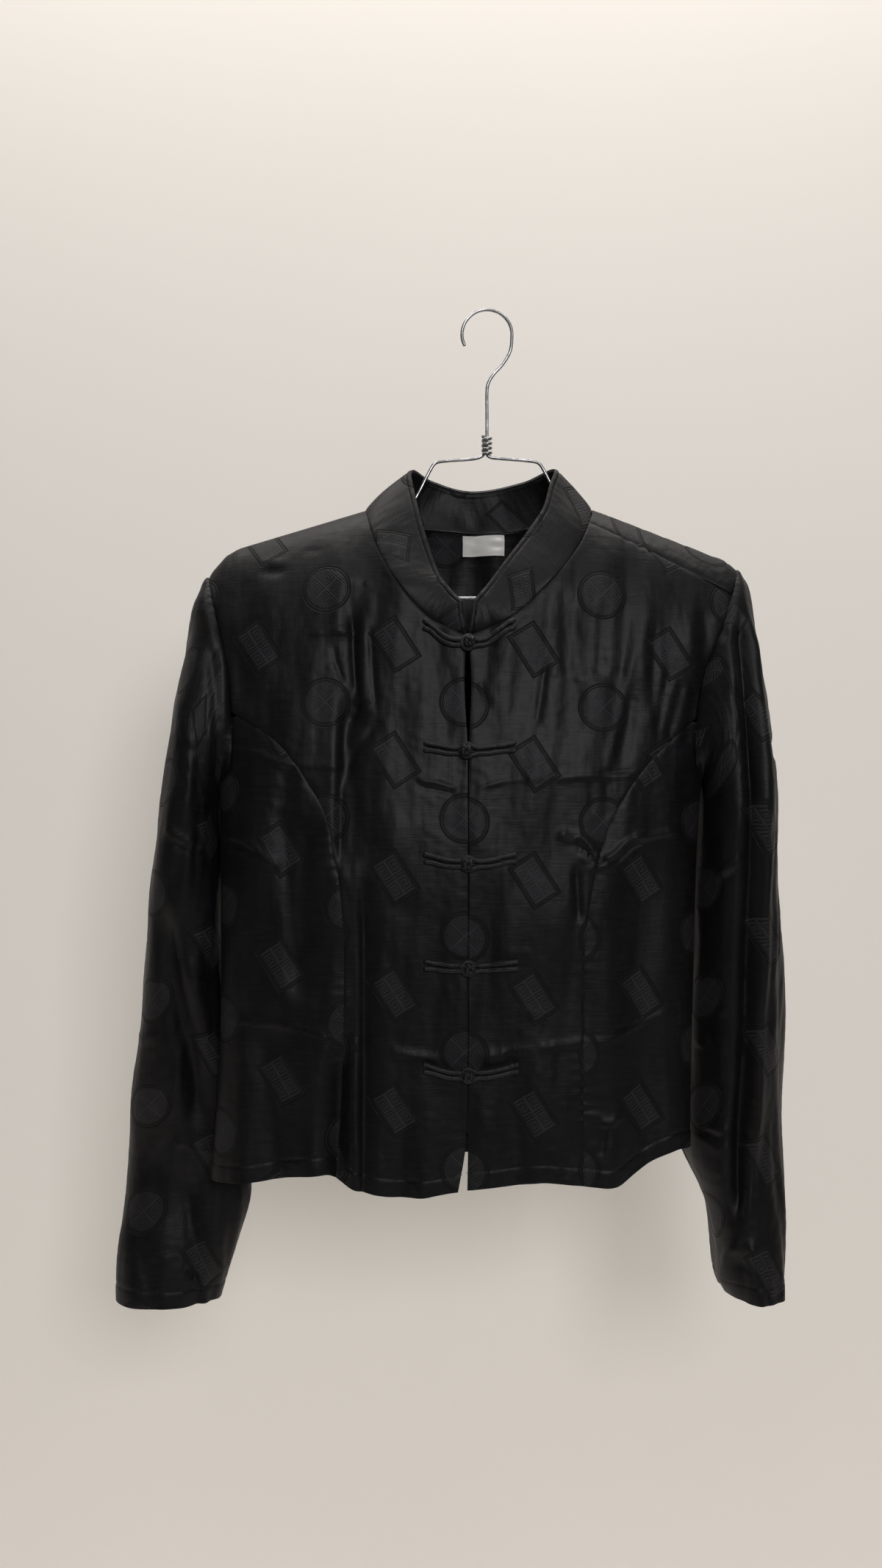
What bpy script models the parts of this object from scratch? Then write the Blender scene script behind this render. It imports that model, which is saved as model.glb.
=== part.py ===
"""A woman's tang jacket hung on a galvanised wire hanger.

Metres, +Z up. The origin is the inner top of the hanger's hook. The jacket's
front faces -Y, so the wearer's right side is at -X. Every cloth piece is a
closed wall around a middle surface, worked out from the section and seam
tables below.
"""
import math

import bmesh
import bpy
from mathutils import Vector

# Cloth and trims
CLOTH = 0.0012            # silk with its seam allowances pressed behind it
COLLAR_CLOTH = 0.0024     # a doubled, stiffened band
SEAM_GAP = 0.0003         # clear distance between two pieces at a seam
COLLAR_GAP = 0.0010       # room for the thicker band above the neckline
SLEEVE_GAP = 0.0023       # room for the sleeve's turn at the underarm, a third of it on top
CORD_RADIUS = 0.0022      # frog cord
KNOT_RADIUS = 0.0050      # ball knot of a frog
LOOP_RADIUS = 0.0052      # centre line of the loop round the knot's neck
KNOT_RISE = 0.0056        # ball centre above the loop's cord
LABEL_WIDTH, LABEL_HEIGHT, LABEL_CLOTH = 0.034, 0.016, 0.0008
LABEL_CLEARANCE = 0.0020   # the neck curves between the label and the back

# Hanger
WIRE_RADIUS = 0.00135
HOOK_RADIUS = 0.0197      # centre line of the hook
COIL_RADIUS = 0.0031      # centre line of the twist round the stem
COIL_TOP, COIL_BOTTOM, COIL_TURNS = -0.0985, -0.1135, 4

# How far below the shoulder ridge the body reaches its full depth, and how
# sharply it breaks over the wire
SHOULDER_DROP = 0.085
SHOULDER_POWER = 1.7

# Plan sections of the body: z, left edge, right edge, front depth, back depth,
# and how square the section is on its left and on its right
BODY_SECTIONS = (
    # z       left     right   front   back    square_left square_right
    (-0.150, -0.2620, 0.2420, 0.0400, 0.0360, 2.4, 2.4),
    (-0.260, -0.2400, 0.2060, 0.0440, 0.0380, 2.5, 2.4),
    (-0.330, -0.2160, 0.1760, 0.0500, 0.0400, 2.7, 2.4),
    (-0.372, -0.2100, 0.1680, 0.0540, 0.0410, 2.8, 2.3),
    (-0.440, -0.2085, 0.1640, 0.0560, 0.0400, 2.8, 2.1),
    (-0.520, -0.2085, 0.1620, 0.0520, 0.0400, 2.8, 2.1),
    (-0.600, -0.2100, 0.1600, 0.0500, 0.0430, 2.8, 2.2),
    (-0.690, -0.2170, 0.1590, 0.0500, 0.0460, 2.8, 2.3),
)

# Shoulder ridge, over the hanger: x, z
RIDGE = (
    (-0.300, -0.3300), (-0.2224, -0.2149), (-0.2050, -0.1905), (-0.0960, -0.1580),
    (-0.0072, -0.1300), (0.0815, -0.1565), (0.1958, -0.2004), (0.2062, -0.2184), (0.270, -0.3400),
)

# Largest folds of the fronts, from a top point to a bottom point: a positive
# rise stands out, a negative one sinks in
FRONT_FOLDS = (
    # x_top   z_top    x_low    z_low   half_width rise
    (-0.1060, -0.240, -0.0960, -0.330, 0.010, -0.0040),
    (-0.1150, -0.540, -0.1170, -0.720, 0.010, -0.0090),
    (-0.0930, -0.480, -0.0905, -0.720, 0.014, -0.0060),
    (-0.0600, -0.400, -0.0600, -0.720, 0.022, 0.0030),
    (0.0890, -0.225, 0.0830, -0.330, 0.009, -0.0045),
    (0.1130, -0.235, 0.1060, -0.330, 0.008, -0.0040),
    (0.1650, -0.255, 0.1270, -0.345, 0.010, -0.0045),
    (0.0980, -0.400, 0.1010, -0.720, 0.016, -0.0060),
    (0.0600, -0.380, 0.0640, -0.720, 0.024, 0.0030),
)
BACK_FOLDS = (
    # x_top   z_top    x_low    z_low   half_width rise
    (-0.1300, -0.250, -0.1150, -0.600, 0.016, -0.0045),
    (-0.0200, -0.420, -0.0300, -0.720, 0.022, -0.0040),
    (0.0950, -0.260, 0.0800, -0.640, 0.015, -0.0050),
)

# Where the seams meet the ridge
ARM_TOP_RIGHT, NECK_POINT_RIGHT, NECK_POINT_LEFT, ARM_TOP_LEFT = -0.2190, -0.0960, 0.0815, 0.1960

# Seams and edges as (x, z) pairs on the body surface. The armholes run up to the
# ridge and the necklines down from it; their point on it is worked out.
FRONT_EDGE_RIGHT = (
    (-0.0235, -0.6790), (-0.0178, -0.6450), (-0.0163, -0.5850), (-0.0163, -0.4300),
    (-0.0165, -0.3450), (-0.0185, -0.3000), (-0.0172, -0.2609),
)
FRONT_EDGE_LEFT = (
    (-0.0165, -0.6775), (-0.0160, -0.6450), (-0.0155, -0.5850), (-0.0155, -0.4300),
    (-0.0152, -0.3450), (-0.0135, -0.3000), (-0.0150, -0.2609),
)
PRINCESS_RIGHT = (
    (-0.1160, -0.6710), (-0.1120, -0.6120), (-0.1090, -0.5250), (-0.1110, -0.4600),
    (-0.1220, -0.4000), (-0.1390, -0.3680), (-0.1600, -0.3420), (-0.1900, -0.3180),
)
PRINCESS_LEFT = (
    (0.0715, -0.6760), (0.0710, -0.5200), (0.0740, -0.4750), (0.0830, -0.4270),
    (0.0950, -0.3950), (0.1150, -0.3650), (0.1400, -0.3390), (0.1560, -0.3220),
)
ARMHOLE_RIGHT_FRONT = (
    (-0.2085, -0.3735), (-0.1990, -0.3640), (-0.1960, -0.3390), (-0.1990, -0.2900),
    (-0.2062, -0.2560),
)
ARMHOLE_LEFT_FRONT = (
    (0.1670, -0.3700), (0.1605, -0.3560), (0.1600, -0.3260), (0.1660, -0.2880),
    (0.1790, -0.2560),
)
ARMHOLE_RIGHT_BACK = (
    (-0.2085, -0.3735), (-0.1990, -0.3630), (-0.1930, -0.3300), (-0.1950, -0.2850),
    (-0.2055, -0.2450),
)
ARMHOLE_LEFT_BACK = (
    (0.1670, -0.3700), (0.1590, -0.3600), (0.1560, -0.3300), (0.1610, -0.2850),
    (0.1760, -0.2450),
)
NECK_RIGHT = (
    (-0.0907, -0.1738), (-0.0827, -0.1951), (-0.0718, -0.2153),
    (-0.0581, -0.2335), (-0.0430, -0.2480), (-0.0172, -0.2609),
)
NECK_LEFT = (
    (0.0785, -0.1700), (0.0711, -0.1863), (0.0579, -0.2057),
    (0.0372, -0.2279), (0.0180, -0.2450), (-0.0150, -0.2609),
)
NECK_BACK = (
    (-0.0720, -0.1660), (-0.0400, -0.1695), (-0.0072, -0.1707), (0.0250, -0.1692),
    (0.0570, -0.1650),
)
HEM_FRONT = (
    (-0.2150, -0.6806), (-0.1692, -0.6745), (-0.1249, -0.6674), (-0.1120, -0.6735),
    (-0.0917, -0.6806), (-0.0584, -0.6834), (-0.0235, -0.6790), (0.0190, -0.6751),
    (0.0413, -0.6729), (0.0635, -0.6756), (0.0950, -0.6782), (0.1120, -0.6700),
    (0.1300, -0.6600), (0.1450, -0.6550), (0.1585, -0.6565),
)
HEM_BACK = (
    (-0.2150, -0.6806), (-0.1500, -0.6790), (-0.0900, -0.6765), (-0.0300, -0.6756),
    (0.0400, -0.6740), (0.1000, -0.6690), (0.1585, -0.6565),
)

# Collar band: the top edge, from the wearer's right front end round the back.
# The first third of its run stands over the right front's neckline, the second
# over the back's and the last over the left front's.
COLLAR_TOP = (
    # along   x        y        z
    (0.000, -0.0208, -0.0425, -0.2350),
    (0.089, -0.0307, -0.0385, -0.2235),
    (0.179, -0.0391, -0.0320, -0.2100),
    (0.236, -0.0495, -0.0220, -0.1780),
    (0.292, -0.0566, -0.0110, -0.1488),
    (0.333, -0.0605, 0.0050, -0.1245),
    (0.400, -0.0440, 0.0230, -0.1290),
    (0.500, -0.0110, 0.0300, -0.1360),
    (0.600, 0.0300, 0.0240, -0.1300),
    (0.667, 0.0530, -0.0010, -0.1255),
    (0.698, 0.0490, -0.0100, -0.1400),
    (0.738, 0.0434, -0.0180, -0.1590),
    (0.791, 0.0310, -0.0250, -0.1780),
    (0.860, 0.0130, -0.0310, -0.2030),
    (0.918, -0.0020, -0.0370, -0.2230),
    (1.000, -0.0112, -0.0425, -0.2350),
)

# Plan sections of the sleeves: z, outer edge, inner edge, middle y, half depth
SLEEVE_RIGHT = (
    # z       outer    inner    middle  half_depth
    (-0.200, -0.2225, -0.1400, 0.0000, 0.0330),
    (-0.228, -0.2326, -0.1500, 0.0000, 0.0350),
    (-0.275, -0.2402, -0.1700, 0.0010, 0.0400),
    (-0.330, -0.2490, -0.2060, 0.0020, 0.0460),
    (-0.385, -0.2545, -0.2165, 0.0060, 0.0460),
    (-0.450, -0.2656, -0.2150, 0.0140, 0.0440),
    (-0.523, -0.2742, -0.2110, 0.0230, 0.0380),
    (-0.596, -0.2817, -0.2040, 0.0320, 0.0330),
    (-0.671, -0.2905, -0.1975, 0.0420, 0.0280),
    (-0.707, -0.2940, -0.1925, 0.0400, 0.0270),
    (-0.741, -0.2977, -0.2018, 0.0340, 0.0260),
    (-0.789, -0.2976, -0.2156, 0.0290, 0.0250),
)
SLEEVE_LEFT = (
    # z       outer    inner    middle  half_depth
    (-0.200, 0.2035, 0.1300, 0.0000, 0.0330),
    (-0.215, 0.2075, 0.1350, 0.0000, 0.0340),
    (-0.230, 0.2125, 0.1400, 0.0000, 0.0350),
    (-0.276, 0.2174, 0.1500, 0.0010, 0.0400),
    (-0.330, 0.2225, 0.1700, 0.0020, 0.0450),
    (-0.385, 0.2265, 0.1750, 0.0040, 0.0460),
    (-0.450, 0.2315, 0.1705, 0.0130, 0.0440),
    (-0.523, 0.2380, 0.1690, 0.0220, 0.0430),
    (-0.590, 0.2390, 0.1680, 0.0270, 0.0420),
    (-0.667, 0.2389, 0.1671, 0.0290, 0.0420),
    (-0.714, 0.2380, 0.1780, 0.0250, 0.0420),
    (-0.760, 0.2366, 0.1849, 0.0210, 0.0420),
    (-0.7755, 0.2360, 0.1895, 0.0200, 0.0420),
)
# The long crease down the outer front of the left sleeve
SLEEVE_CREASE_ANGLE, SLEEVE_CREASE_WIDTH, SLEEVE_CREASE_DEPTH = 1.05, 0.32, 0.0045
SLEEVE_HEAD_DROP = 0.015      # from the underarm to the first level section
SLEEVE_HEAD_EASE = 0.45       # how soon the sleeve head leaves the armhole
SLEEVE_HEAD_DIP = 1.3         # how late it drops

# Frogs: height of the knot, reach to the right, reach to the left, rise of the
# outer ends above the knot
FROGS = (
    # x        z        right   left    rise
    (-0.0162, -0.2665, 0.0345, 0.0365, 0.0140),
    (-0.0165, -0.3480, 0.0335, 0.0375, 0.0030),
    (-0.0160, -0.4320, 0.0335, 0.0370, 0.0045),
    (-0.0160, -0.5100, 0.0340, 0.0380, 0.0025),
    (-0.0160, -0.5905, 0.0345, 0.0390, 0.0055),
)

# Grid of the faceted cloth. Neighbours share the places of their seam points.
SHOULDER_STEPS, NECK_STEPS = 4, 6             # along the shoulder and each neckline
SIDE_STEPS = 7                                # across a side front
PRINCESS_ROWS, UPPER_ARM_ROWS, LOWER_ARM_ROWS = 13, 4, 3
BODY_ROWS = PRINCESS_ROWS + UPPER_ARM_ROWS
ARM_ROWS = UPPER_ARM_ROWS + LOWER_ARM_ROWS    # up one armhole
BACK_MEETING = 0.45       # share up the back armhole where its upper rows start
RIDGE_CLOSENESS = 1.6     # how much closer the rows lie at the ridge
SLEEVE_HEAD_ROWS, SLEEVE_ROWS = 5, 13
COLLAR_ROWS = 2


def clear_scene():
    """Remove whatever the scene holds."""
    for thing in list(bpy.data.objects):
        bpy.data.objects.remove(thing, do_unlink=True)


def finish(name, colour, roughness, metallic=0.0):
    """A plain Principled material."""
    material = bpy.data.materials.new(name)
    material.use_nodes = True
    shader = material.node_tree.nodes["Principled BSDF"]
    shader.inputs["Base Color"].default_value = (*colour, 1.0)
    shader.inputs["Roughness"].default_value = roughness
    shader.inputs["Metallic"].default_value = metallic
    return material


def smooth(value):
    """Smooth step from 0 to 1."""
    value = min(max(value, 0.0), 1.0)
    return value * value * (3.0 - 2.0 * value)


def row_at(table, key):
    """Values of a table at a key, on a smooth curve through its rows."""
    rows = sorted(table)
    key = min(max(key, rows[0][0]), rows[-1][0])
    index = max(i for i in range(len(rows) - 1) if rows[i][0] <= key)
    low, high = rows[index], rows[index + 1]
    before, after = rows[max(index - 1, 0)], rows[min(index + 2, len(rows) - 1)]
    span = high[0] - low[0]
    t = (key - low[0]) / span
    values = []
    for column in range(1, len(low)):
        start = (high[column] - before[column]) / (high[0] - before[0]) * span
        end = (after[column] - low[column]) / (after[0] - low[0]) * span
        values.append(
            (2 * t**3 - 3 * t**2 + 1) * low[column] + (t**3 - 2 * t**2 + t) * start
            + (3 * t**2 - 2 * t**3) * high[column] + (t**3 - t**2) * end
        )
    return values


def line_at(points, key):
    """Height of a polyline of (x, z) points at an x."""
    for (x0, z0), (x1, z1) in zip(points, points[1:]):
        if key <= x1:
            return z0 + (z1 - z0) * (key - x0) / (x1 - x0)
    return points[-1][1]


def ridge_height(x):
    """Height of the shoulder ridge, with its corners eased over 10 mm."""
    reach = 0.010
    return (line_at(RIDGE, x - reach) + 2 * line_at(RIDGE, x) + line_at(RIDGE, x + reach)) / 4


def ridge_point(x):
    """Place of the ridge at an x."""
    return x, ridge_height(x)


def path_at(points, t):
    """Point at share t of a smooth curve through flat points, by length."""
    lengths = [0.0]
    for a, b in zip(points, points[1:]):
        lengths.append(lengths[-1] + math.dist(a, b))
    table = [(length, *point) for length, point in zip(lengths, points)]
    return tuple(row_at(table, t * lengths[-1]))


def fold_offset(folds, x, z):
    """Sum of the soft folds at a place on a panel."""
    total = 0.0
    for x_top, z_top, x_low, z_low, half_width, rise in folds:
        along = (z_top - z) / (z_top - z_low)
        if along <= 0.0:
            continue
        centre = x_top + (x_low - x_top) * along
        swell = smooth(along * 2.5) * (1.0 - smooth((along - 0.75) * 4.0) * (z_low > -0.7))
        total += rise * swell * math.exp(-(((x - centre) / half_width) ** 2))
    return total


def share_from_x(x, z):
    """Share -1..1 across the body at a height, from an x."""
    left, right, _, _, square_left, square_right = row_at(BODY_SECTIONS, z)
    middle, half = (left + right) / 2, (right - left) / 2
    part = max(-1.0, min(1.0, (x - middle) / half))
    power = square_left if part < 0 else square_right
    return math.copysign(math.asin(abs(part) ** (power / 2)), part) * 2 / math.pi


def body_point(face, share, z):
    """Point of the body. face is -1 for the front and 1 for the back."""
    left, right, front, back, square_left, square_right = row_at(BODY_SECTIONS, z)
    middle, half = (left + right) / 2, (right - left) / 2
    power = square_left if share < 0 else square_right
    angle = share * math.pi / 2
    x = middle + half * math.copysign(abs(math.sin(angle)) ** (2 / power), share)
    full = max(math.cos(angle), 0.0) ** (2 / power)
    below = ridge_height(x) - z
    over = below < 0.0
    if over:
        face, z = -face, z + 2 * below
        below = -below
    depth = front if face < 0 else back
    folds = FRONT_FOLDS if face < 0 else BACK_FOLDS
    near = min(below / SHOULDER_DROP, 1.0)
    rounding = (1.0 - (1.0 - near) ** SHOULDER_POWER) ** (1.0 / SHOULDER_POWER)
    fold = fold_offset(folds, x, z) * full * smooth(below / 0.06)
    return Vector((x, face * (depth * full * rounding + fold), z))


def body_normal(face, share, z):
    """Outward normal of the body surface."""
    step = 0.0015
    inside = max(-0.985, min(0.985, share))
    across = body_point(face, inside + 0.01, z) - body_point(face, inside - 0.01, z)
    up = body_point(face, inside, z + step) - body_point(face, inside, z - step)
    normal = across.cross(up) * -face
    return normal.normalized()


def side_normal(share):
    """Outward normal at a side seam."""
    return Vector((math.copysign(1.0, share), 0.0, 0.0))


def grid_patch(bottom, top, left, right, columns, rows):
    """Coons patch between four edges, each a function of 0..1."""
    grid = []
    for j in range(rows + 1):
        v = j / rows
        line = []
        for i in range(columns + 1):
            u = i / columns
            point = []
            for k in (0, 1):
                corners = (
                    (1 - u) * (1 - v) * bottom(0)[k] + u * (1 - v) * bottom(1)[k]
                    + (1 - u) * v * top(0)[k] + u * v * top(1)[k]
                )
                ruled = (1 - v) * bottom(u)[k] + v * top(u)[k]
                ruled += (1 - u) * left(v)[k] + u * right(v)[k]
                point.append(ruled - corners)
            line.append(tuple(point))
        grid.append(line)
    return grid


def edge_curve(points):
    """Edge of a panel as a function of 0..1 giving (share, z)."""
    def curve(t):
        x, z = path_at(points, t)
        return share_from_x(x, z), z
    return curve


def shoulder_curve(start_x, end_x):
    """Shoulder seam, on the ridge between two x values."""
    def curve(t):
        x = start_x + (end_x - start_x) * t
        z = ridge_height(x)
        return share_from_x(x, z), z
    return curve


def joined_curve(first, second, meeting):
    """Two edges run one after the other. meeting is where they join."""
    def curve(t):
        if t <= meeting:
            return first(t / meeting)
        return second((t - meeting) / (1.0 - meeting))
    return curve


def cut_wall(name, material, points, normals, thickness, closed=False):
    """Closed wall of cloth around a grid of middle points."""
    rows, columns = len(points), len(points[0])
    mesh = bmesh.new()
    skins = []
    for side in (0.5, -0.5):
        skins.append([
            [mesh.verts.new(p + n * thickness * side) for p, n in zip(line, normal_line)]
            for line, normal_line in zip(points, normals)
        ])
    outer, inner = skins
    last = columns if closed else columns - 1
    for j in range(rows - 1):
        for i in range(last):
            k = (i + 1) % columns
            mesh.faces.new((outer[j][i], outer[j][k], outer[j + 1][k], outer[j + 1][i]))
            mesh.faces.new((inner[j][i], inner[j + 1][i], inner[j + 1][k], inner[j][k]))
    for i in range(last):
        k = (i + 1) % columns
        mesh.faces.new((outer[0][i], inner[0][i], inner[0][k], outer[0][k]))
        mesh.faces.new((outer[-1][i], outer[-1][k], inner[-1][k], inner[-1][i]))
    if not closed:
        for j in range(rows - 1):
            mesh.faces.new((outer[j][0], outer[j + 1][0], inner[j + 1][0], inner[j][0]))
            mesh.faces.new((outer[j][-1], inner[j][-1], inner[j + 1][-1], outer[j + 1][-1]))
    bmesh.ops.recalc_face_normals(mesh, faces=mesh.faces)
    return add_object(name, mesh, material)


def add_object(name, mesh, material):
    """Turn a bmesh into a named, smooth-shaded object."""
    data = bpy.data.meshes.new(name)
    mesh.to_mesh(data)
    mesh.free()
    data.shade_smooth()
    data.set_sharp_from_angle(angle=math.radians(50))
    data.materials.append(material)
    piece = bpy.data.objects.new(name, data)
    bpy.context.collection.objects.link(piece)
    return piece


def tube(name, points, radius, material, resolution=1, closed=False):
    """Round cord or wire along points, with filled ends."""
    curve = bpy.data.curves.new(name, "CURVE")
    curve.dimensions = "3D"
    curve.bevel_depth = radius
    curve.bevel_resolution = resolution
    curve.use_fill_caps = not closed
    spline = curve.splines.new("POLY")
    spline.points.add(len(points) - 1)
    for slot, point in zip(spline.points, points):
        slot.co = (*point, 1.0)
    spline.use_cyclic_u = closed
    curve.materials.append(material)
    piece = bpy.data.objects.new(name, curve)
    bpy.context.collection.objects.link(piece)
    return piece


def pulled_in(points, gap):
    """A panel's grid with its four edges moved in by half a seam gap."""
    rows, columns = len(points), len(points[0])
    moved = [list(line) for line in points]
    for j in range(rows):
        for i, inner in ((0, 1), (columns - 1, columns - 2)):
            moved[j][i] = points[j][i] + (points[j][inner] - points[j][i]).normalized() * gap
    for i in range(columns):
        for j, inner in ((0, 1), (rows - 1, rows - 2)):
            step = (points[inner][i] - points[j][i]).normalized() * gap
            moved[j][i] = moved[j][i] + step
    return moved


def body_panel(name, material, face, edges, columns, rows, mirrored=False):
    """Panel of the body between its bottom, top, outer and inner edges.

    mirrored turns the panel's columns round, for a panel at +X.
    """
    shares = grid_patch(*edges, columns, rows)
    if mirrored:
        shares = [line[::-1] for line in shares]
    points = [[body_point(face, share, z) for share, z in line] for line in shares]
    normals = [
        [side_normal(s) if abs(s) > 0.9995 else body_normal(face, s, z) for s, z in line]
        for line in shares
    ]
    return cut_wall(name, material, pulled_in(points, SEAM_GAP / 2), normals, CLOTH)


def split_hem(start_x, end_x, table):
    """Stretch of a hem between two x values, smooth through its table."""
    def curve(t):
        x = start_x + (end_x - start_x) * t
        z = row_at(table, x)[0]
        return share_from_x(x, z), z
    return curve


def side_seam(side, hem_z, top_z):
    """Side seam as an edge, bottom to top. side is -1 or 1."""
    return lambda t: (side, hem_z + (top_z - hem_z) * t)


def meeting_share(points, z):
    """Where along an edge its height passes z."""
    steps = 200
    for k in range(steps + 1):
        if path_at(points, k / steps)[1] >= z:
            return k / steps
    return 1.0


def closing_steps(start):
    """Shares from start to 1 in the upper arm rows, closer towards the ridge."""
    steps = [k / UPPER_ARM_ROWS for k in range(UPPER_ARM_ROWS + 1)]
    return [1.0 - (1.0 - start) * (1.0 - step) ** RIDGE_CLOSENESS for step in steps]


def arm_shares(meeting):
    """Shares up an armhole at which panels and sleeve have a point."""
    return [meeting * k / LOWER_ARM_ROWS for k in range(LOWER_ARM_ROWS)] + closing_steps(meeting)


def stepped(curve, shares):
    """A curve run at the given shares, evenly spaced in t."""
    def run(t):
        place = t * (len(shares) - 1)
        index = min(int(place), len(shares) - 2)
        share = shares[index] + (shares[index + 1] - shares[index]) * (place - index)
        return curve(share)
    return run


def armhole_path(points, top_x):
    """An armhole from the underarm to the ridge."""
    return (*points, ridge_point(top_x))


def neck_paths():
    """The necklines: right front and left front from the ridge, and the back."""
    right, left = ridge_point(NECK_POINT_RIGHT), ridge_point(NECK_POINT_LEFT)
    return (right, *NECK_RIGHT), (left, *NECK_LEFT), (right, *NECK_BACK, left)


def make_front(name, side, edge, princess, armhole, neck, silk):
    """Centre front and side front of one side. side is -1 at -X."""
    meeting = meeting_share(armhole, princess[-1][1])
    armhole_curve = edge_curve(armhole)
    princess_line = edge_curve((*princess[:-1], path_at(armhole, meeting)))
    shares = arm_shares(meeting)
    upper_armhole = stepped(armhole_curve, shares[LOWER_ARM_ROWS:])
    princess_part = PRINCESS_ROWS / BODY_ROWS
    edge_shares = [j / BODY_ROWS for j in range(PRINCESS_ROWS)] + closing_steps(princess_part)
    outer = joined_curve(princess_line, upper_armhole, princess_part)
    columns = SHOULDER_STEPS + NECK_STEPS
    shoulder = shoulder_curve(armhole[-1][0], neck[0][0])
    top = joined_curve(shoulder, edge_curve(neck), SHOULDER_STEPS / columns)
    hem = split_hem(princess[0][0], edge[0][0], HEM_FRONT)
    edges = (hem, top, outer, stepped(edge_curve(edge), edge_shares))
    body_panel(f"centre_front_{name}", silk, -1, edges, columns, BODY_ROWS, side > 0)

    hem_side = HEM_FRONT[0 if side < 0 else -1]
    seam = side_seam(side, hem_side[1], armhole[0][1])
    lower_armhole = stepped(armhole_curve, shares[:LOWER_ARM_ROWS + 1])
    rows = PRINCESS_ROWS
    side_edge = joined_curve(seam, lower_armhole, (rows - LOWER_ARM_ROWS) / rows)
    last = 1.0 - 1.0 / rows
    point_end = last + 0.65 / rows      # the panel's top point is cut off square
    side_hem = split_hem(hem_side[0], princess[0][0], HEM_FRONT)

    def pinned_hem(t):
        return (side, hem_side[1]) if t <= 0.0 else side_hem(t)

    def cut_short(line, t):
        if t <= last:
            return line(t)
        part = (min(t, point_end) - last) * rows
        return tuple(a + (b - a) * part for a, b in zip(line(last), line(1.0)))

    def inner(t):
        return cut_short(princess_line, t)

    def side_arm(t):
        return cut_short(side_edge, t)

    def point_top(t):
        start, end = side_arm(1.0), inner(1.0)
        return tuple(start[k] + (end[k] - start[k]) * t for k in (0, 1))

    edges = (pinned_hem, point_top, side_arm, inner)
    body_panel(f"side_front_{name}", silk, -1, edges, SIDE_STEPS, rows, side > 0)


def make_back(armholes, neck, silk):
    """Back, cut in one piece."""
    columns = NECK_STEPS + 2 * SHOULDER_STEPS
    seam_part = (BODY_ROWS - ARM_ROWS) / BODY_ROWS
    corners = (-1.0, HEM_BACK[0][1]), (1.0, HEM_BACK[-1][1])
    sides = []
    for (side, hem_z), armhole in zip(corners, armholes):
        seam = side_seam(side, hem_z, armhole[0][1])
        armhole_line = stepped(edge_curve(armhole), arm_shares(BACK_MEETING))
        sides.append(joined_curve(seam, armhole_line, seam_part))
    right_shoulder = shoulder_curve(ARM_TOP_RIGHT, NECK_POINT_RIGHT)
    left_shoulder = shoulder_curve(NECK_POINT_LEFT, ARM_TOP_LEFT)
    neck_start = SHOULDER_STEPS / (SHOULDER_STEPS + NECK_STEPS)
    top = joined_curve(right_shoulder, edge_curve(neck), neck_start)
    top = joined_curve(top, left_shoulder, (SHOULDER_STEPS + NECK_STEPS) / columns)
    hem_curve = split_hem(HEM_BACK[0][0], HEM_BACK[-1][0], HEM_BACK)

    def hem(t):
        if 0.0 < t < 1.0:
            return hem_curve(t)
        return corners[0] if t <= 0.0 else corners[1]

    body_panel("back", silk, 1, (hem, top, *sides), columns, BODY_ROWS)


def armhole_ring(front, back, meeting):
    """Armhole as a ring of body points: top, front, underarm, back.

    Between two panel points lies one more, half way along the straight edge.
    """
    places = [(front, t, -1) for t in reversed(arm_shares(meeting))]
    places += [(back, t, 1) for t in arm_shares(BACK_MEETING)[1:-1]]
    ring = []
    for points, t, face in places:
        x, z = path_at(points, t)
        ring.append(body_point(face, share_from_x(x, z), z))
    doubled = []
    for k, point in enumerate(ring):
        doubled += [point, point.lerp(ring[(k + 1) % len(ring)], 0.5)]
    return doubled


def sleeve_place(sections, turn, z, crease):
    """Point of a sleeve at a height. turn runs outer, front, inner, back."""
    outer, inner, middle, half_depth = row_at(sections, z)
    across, out = math.sin(turn), math.cos(turn)
    x = (outer + inner) / 2 + (outer - inner) / 2 * math.copysign(abs(out) ** 0.9, out)
    y = middle - half_depth * math.copysign(abs(across) ** 0.9, across)
    if crease > 0.0:
        away = (turn - SLEEVE_CREASE_ANGLE) / SLEEVE_CREASE_WIDTH
        pull = crease * SLEEVE_CREASE_DEPTH * math.exp(-away * away)
        x, y = x - pull, y + pull
    return Vector((x, y, z))


def make_sleeve(name, sections, front, back, princess_z, creased, silk):
    """Set-in sleeve: a tube from the armhole ring to the cuff."""
    ring = armhole_ring(front, back, meeting_share(front, princess_z))
    cuff_z = sections[-1][0]
    full_z = front[0][1] - SLEEVE_HEAD_DROP
    points = [ring]
    for j in range(1, SLEEVE_ROWS + 1):
        line = []
        head = min(j / SLEEVE_HEAD_ROWS, 1.0)
        length = max(j - SLEEVE_HEAD_ROWS, 0) / (SLEEVE_ROWS - SLEEVE_HEAD_ROWS)
        for k, start in enumerate(ring):
            drop = head ** SLEEVE_HEAD_DIP
            z = start.z + (full_z - start.z) * drop + (cuff_z - full_z) * length
            turn = 2 * math.pi * k / len(ring)
            place = sleeve_place(sections, turn, z, smooth(head) * creased)
            line.append(start.lerp(place, head ** SLEEVE_HEAD_EASE))
        points.append(line)
    normals = tube_normals(points)
    away = math.copysign(SLEEVE_GAP, ring[0].x)
    for k, point in enumerate(ring):
        under = 0.5 - 0.5 * math.cos(2 * math.pi * k / len(ring))
        points[0][k] = point + Vector((away * (1 + 2 * under) / 3, 0.0, 0.0))
    return cut_wall(name, silk, points, normals, CLOTH, closed=True)


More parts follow.
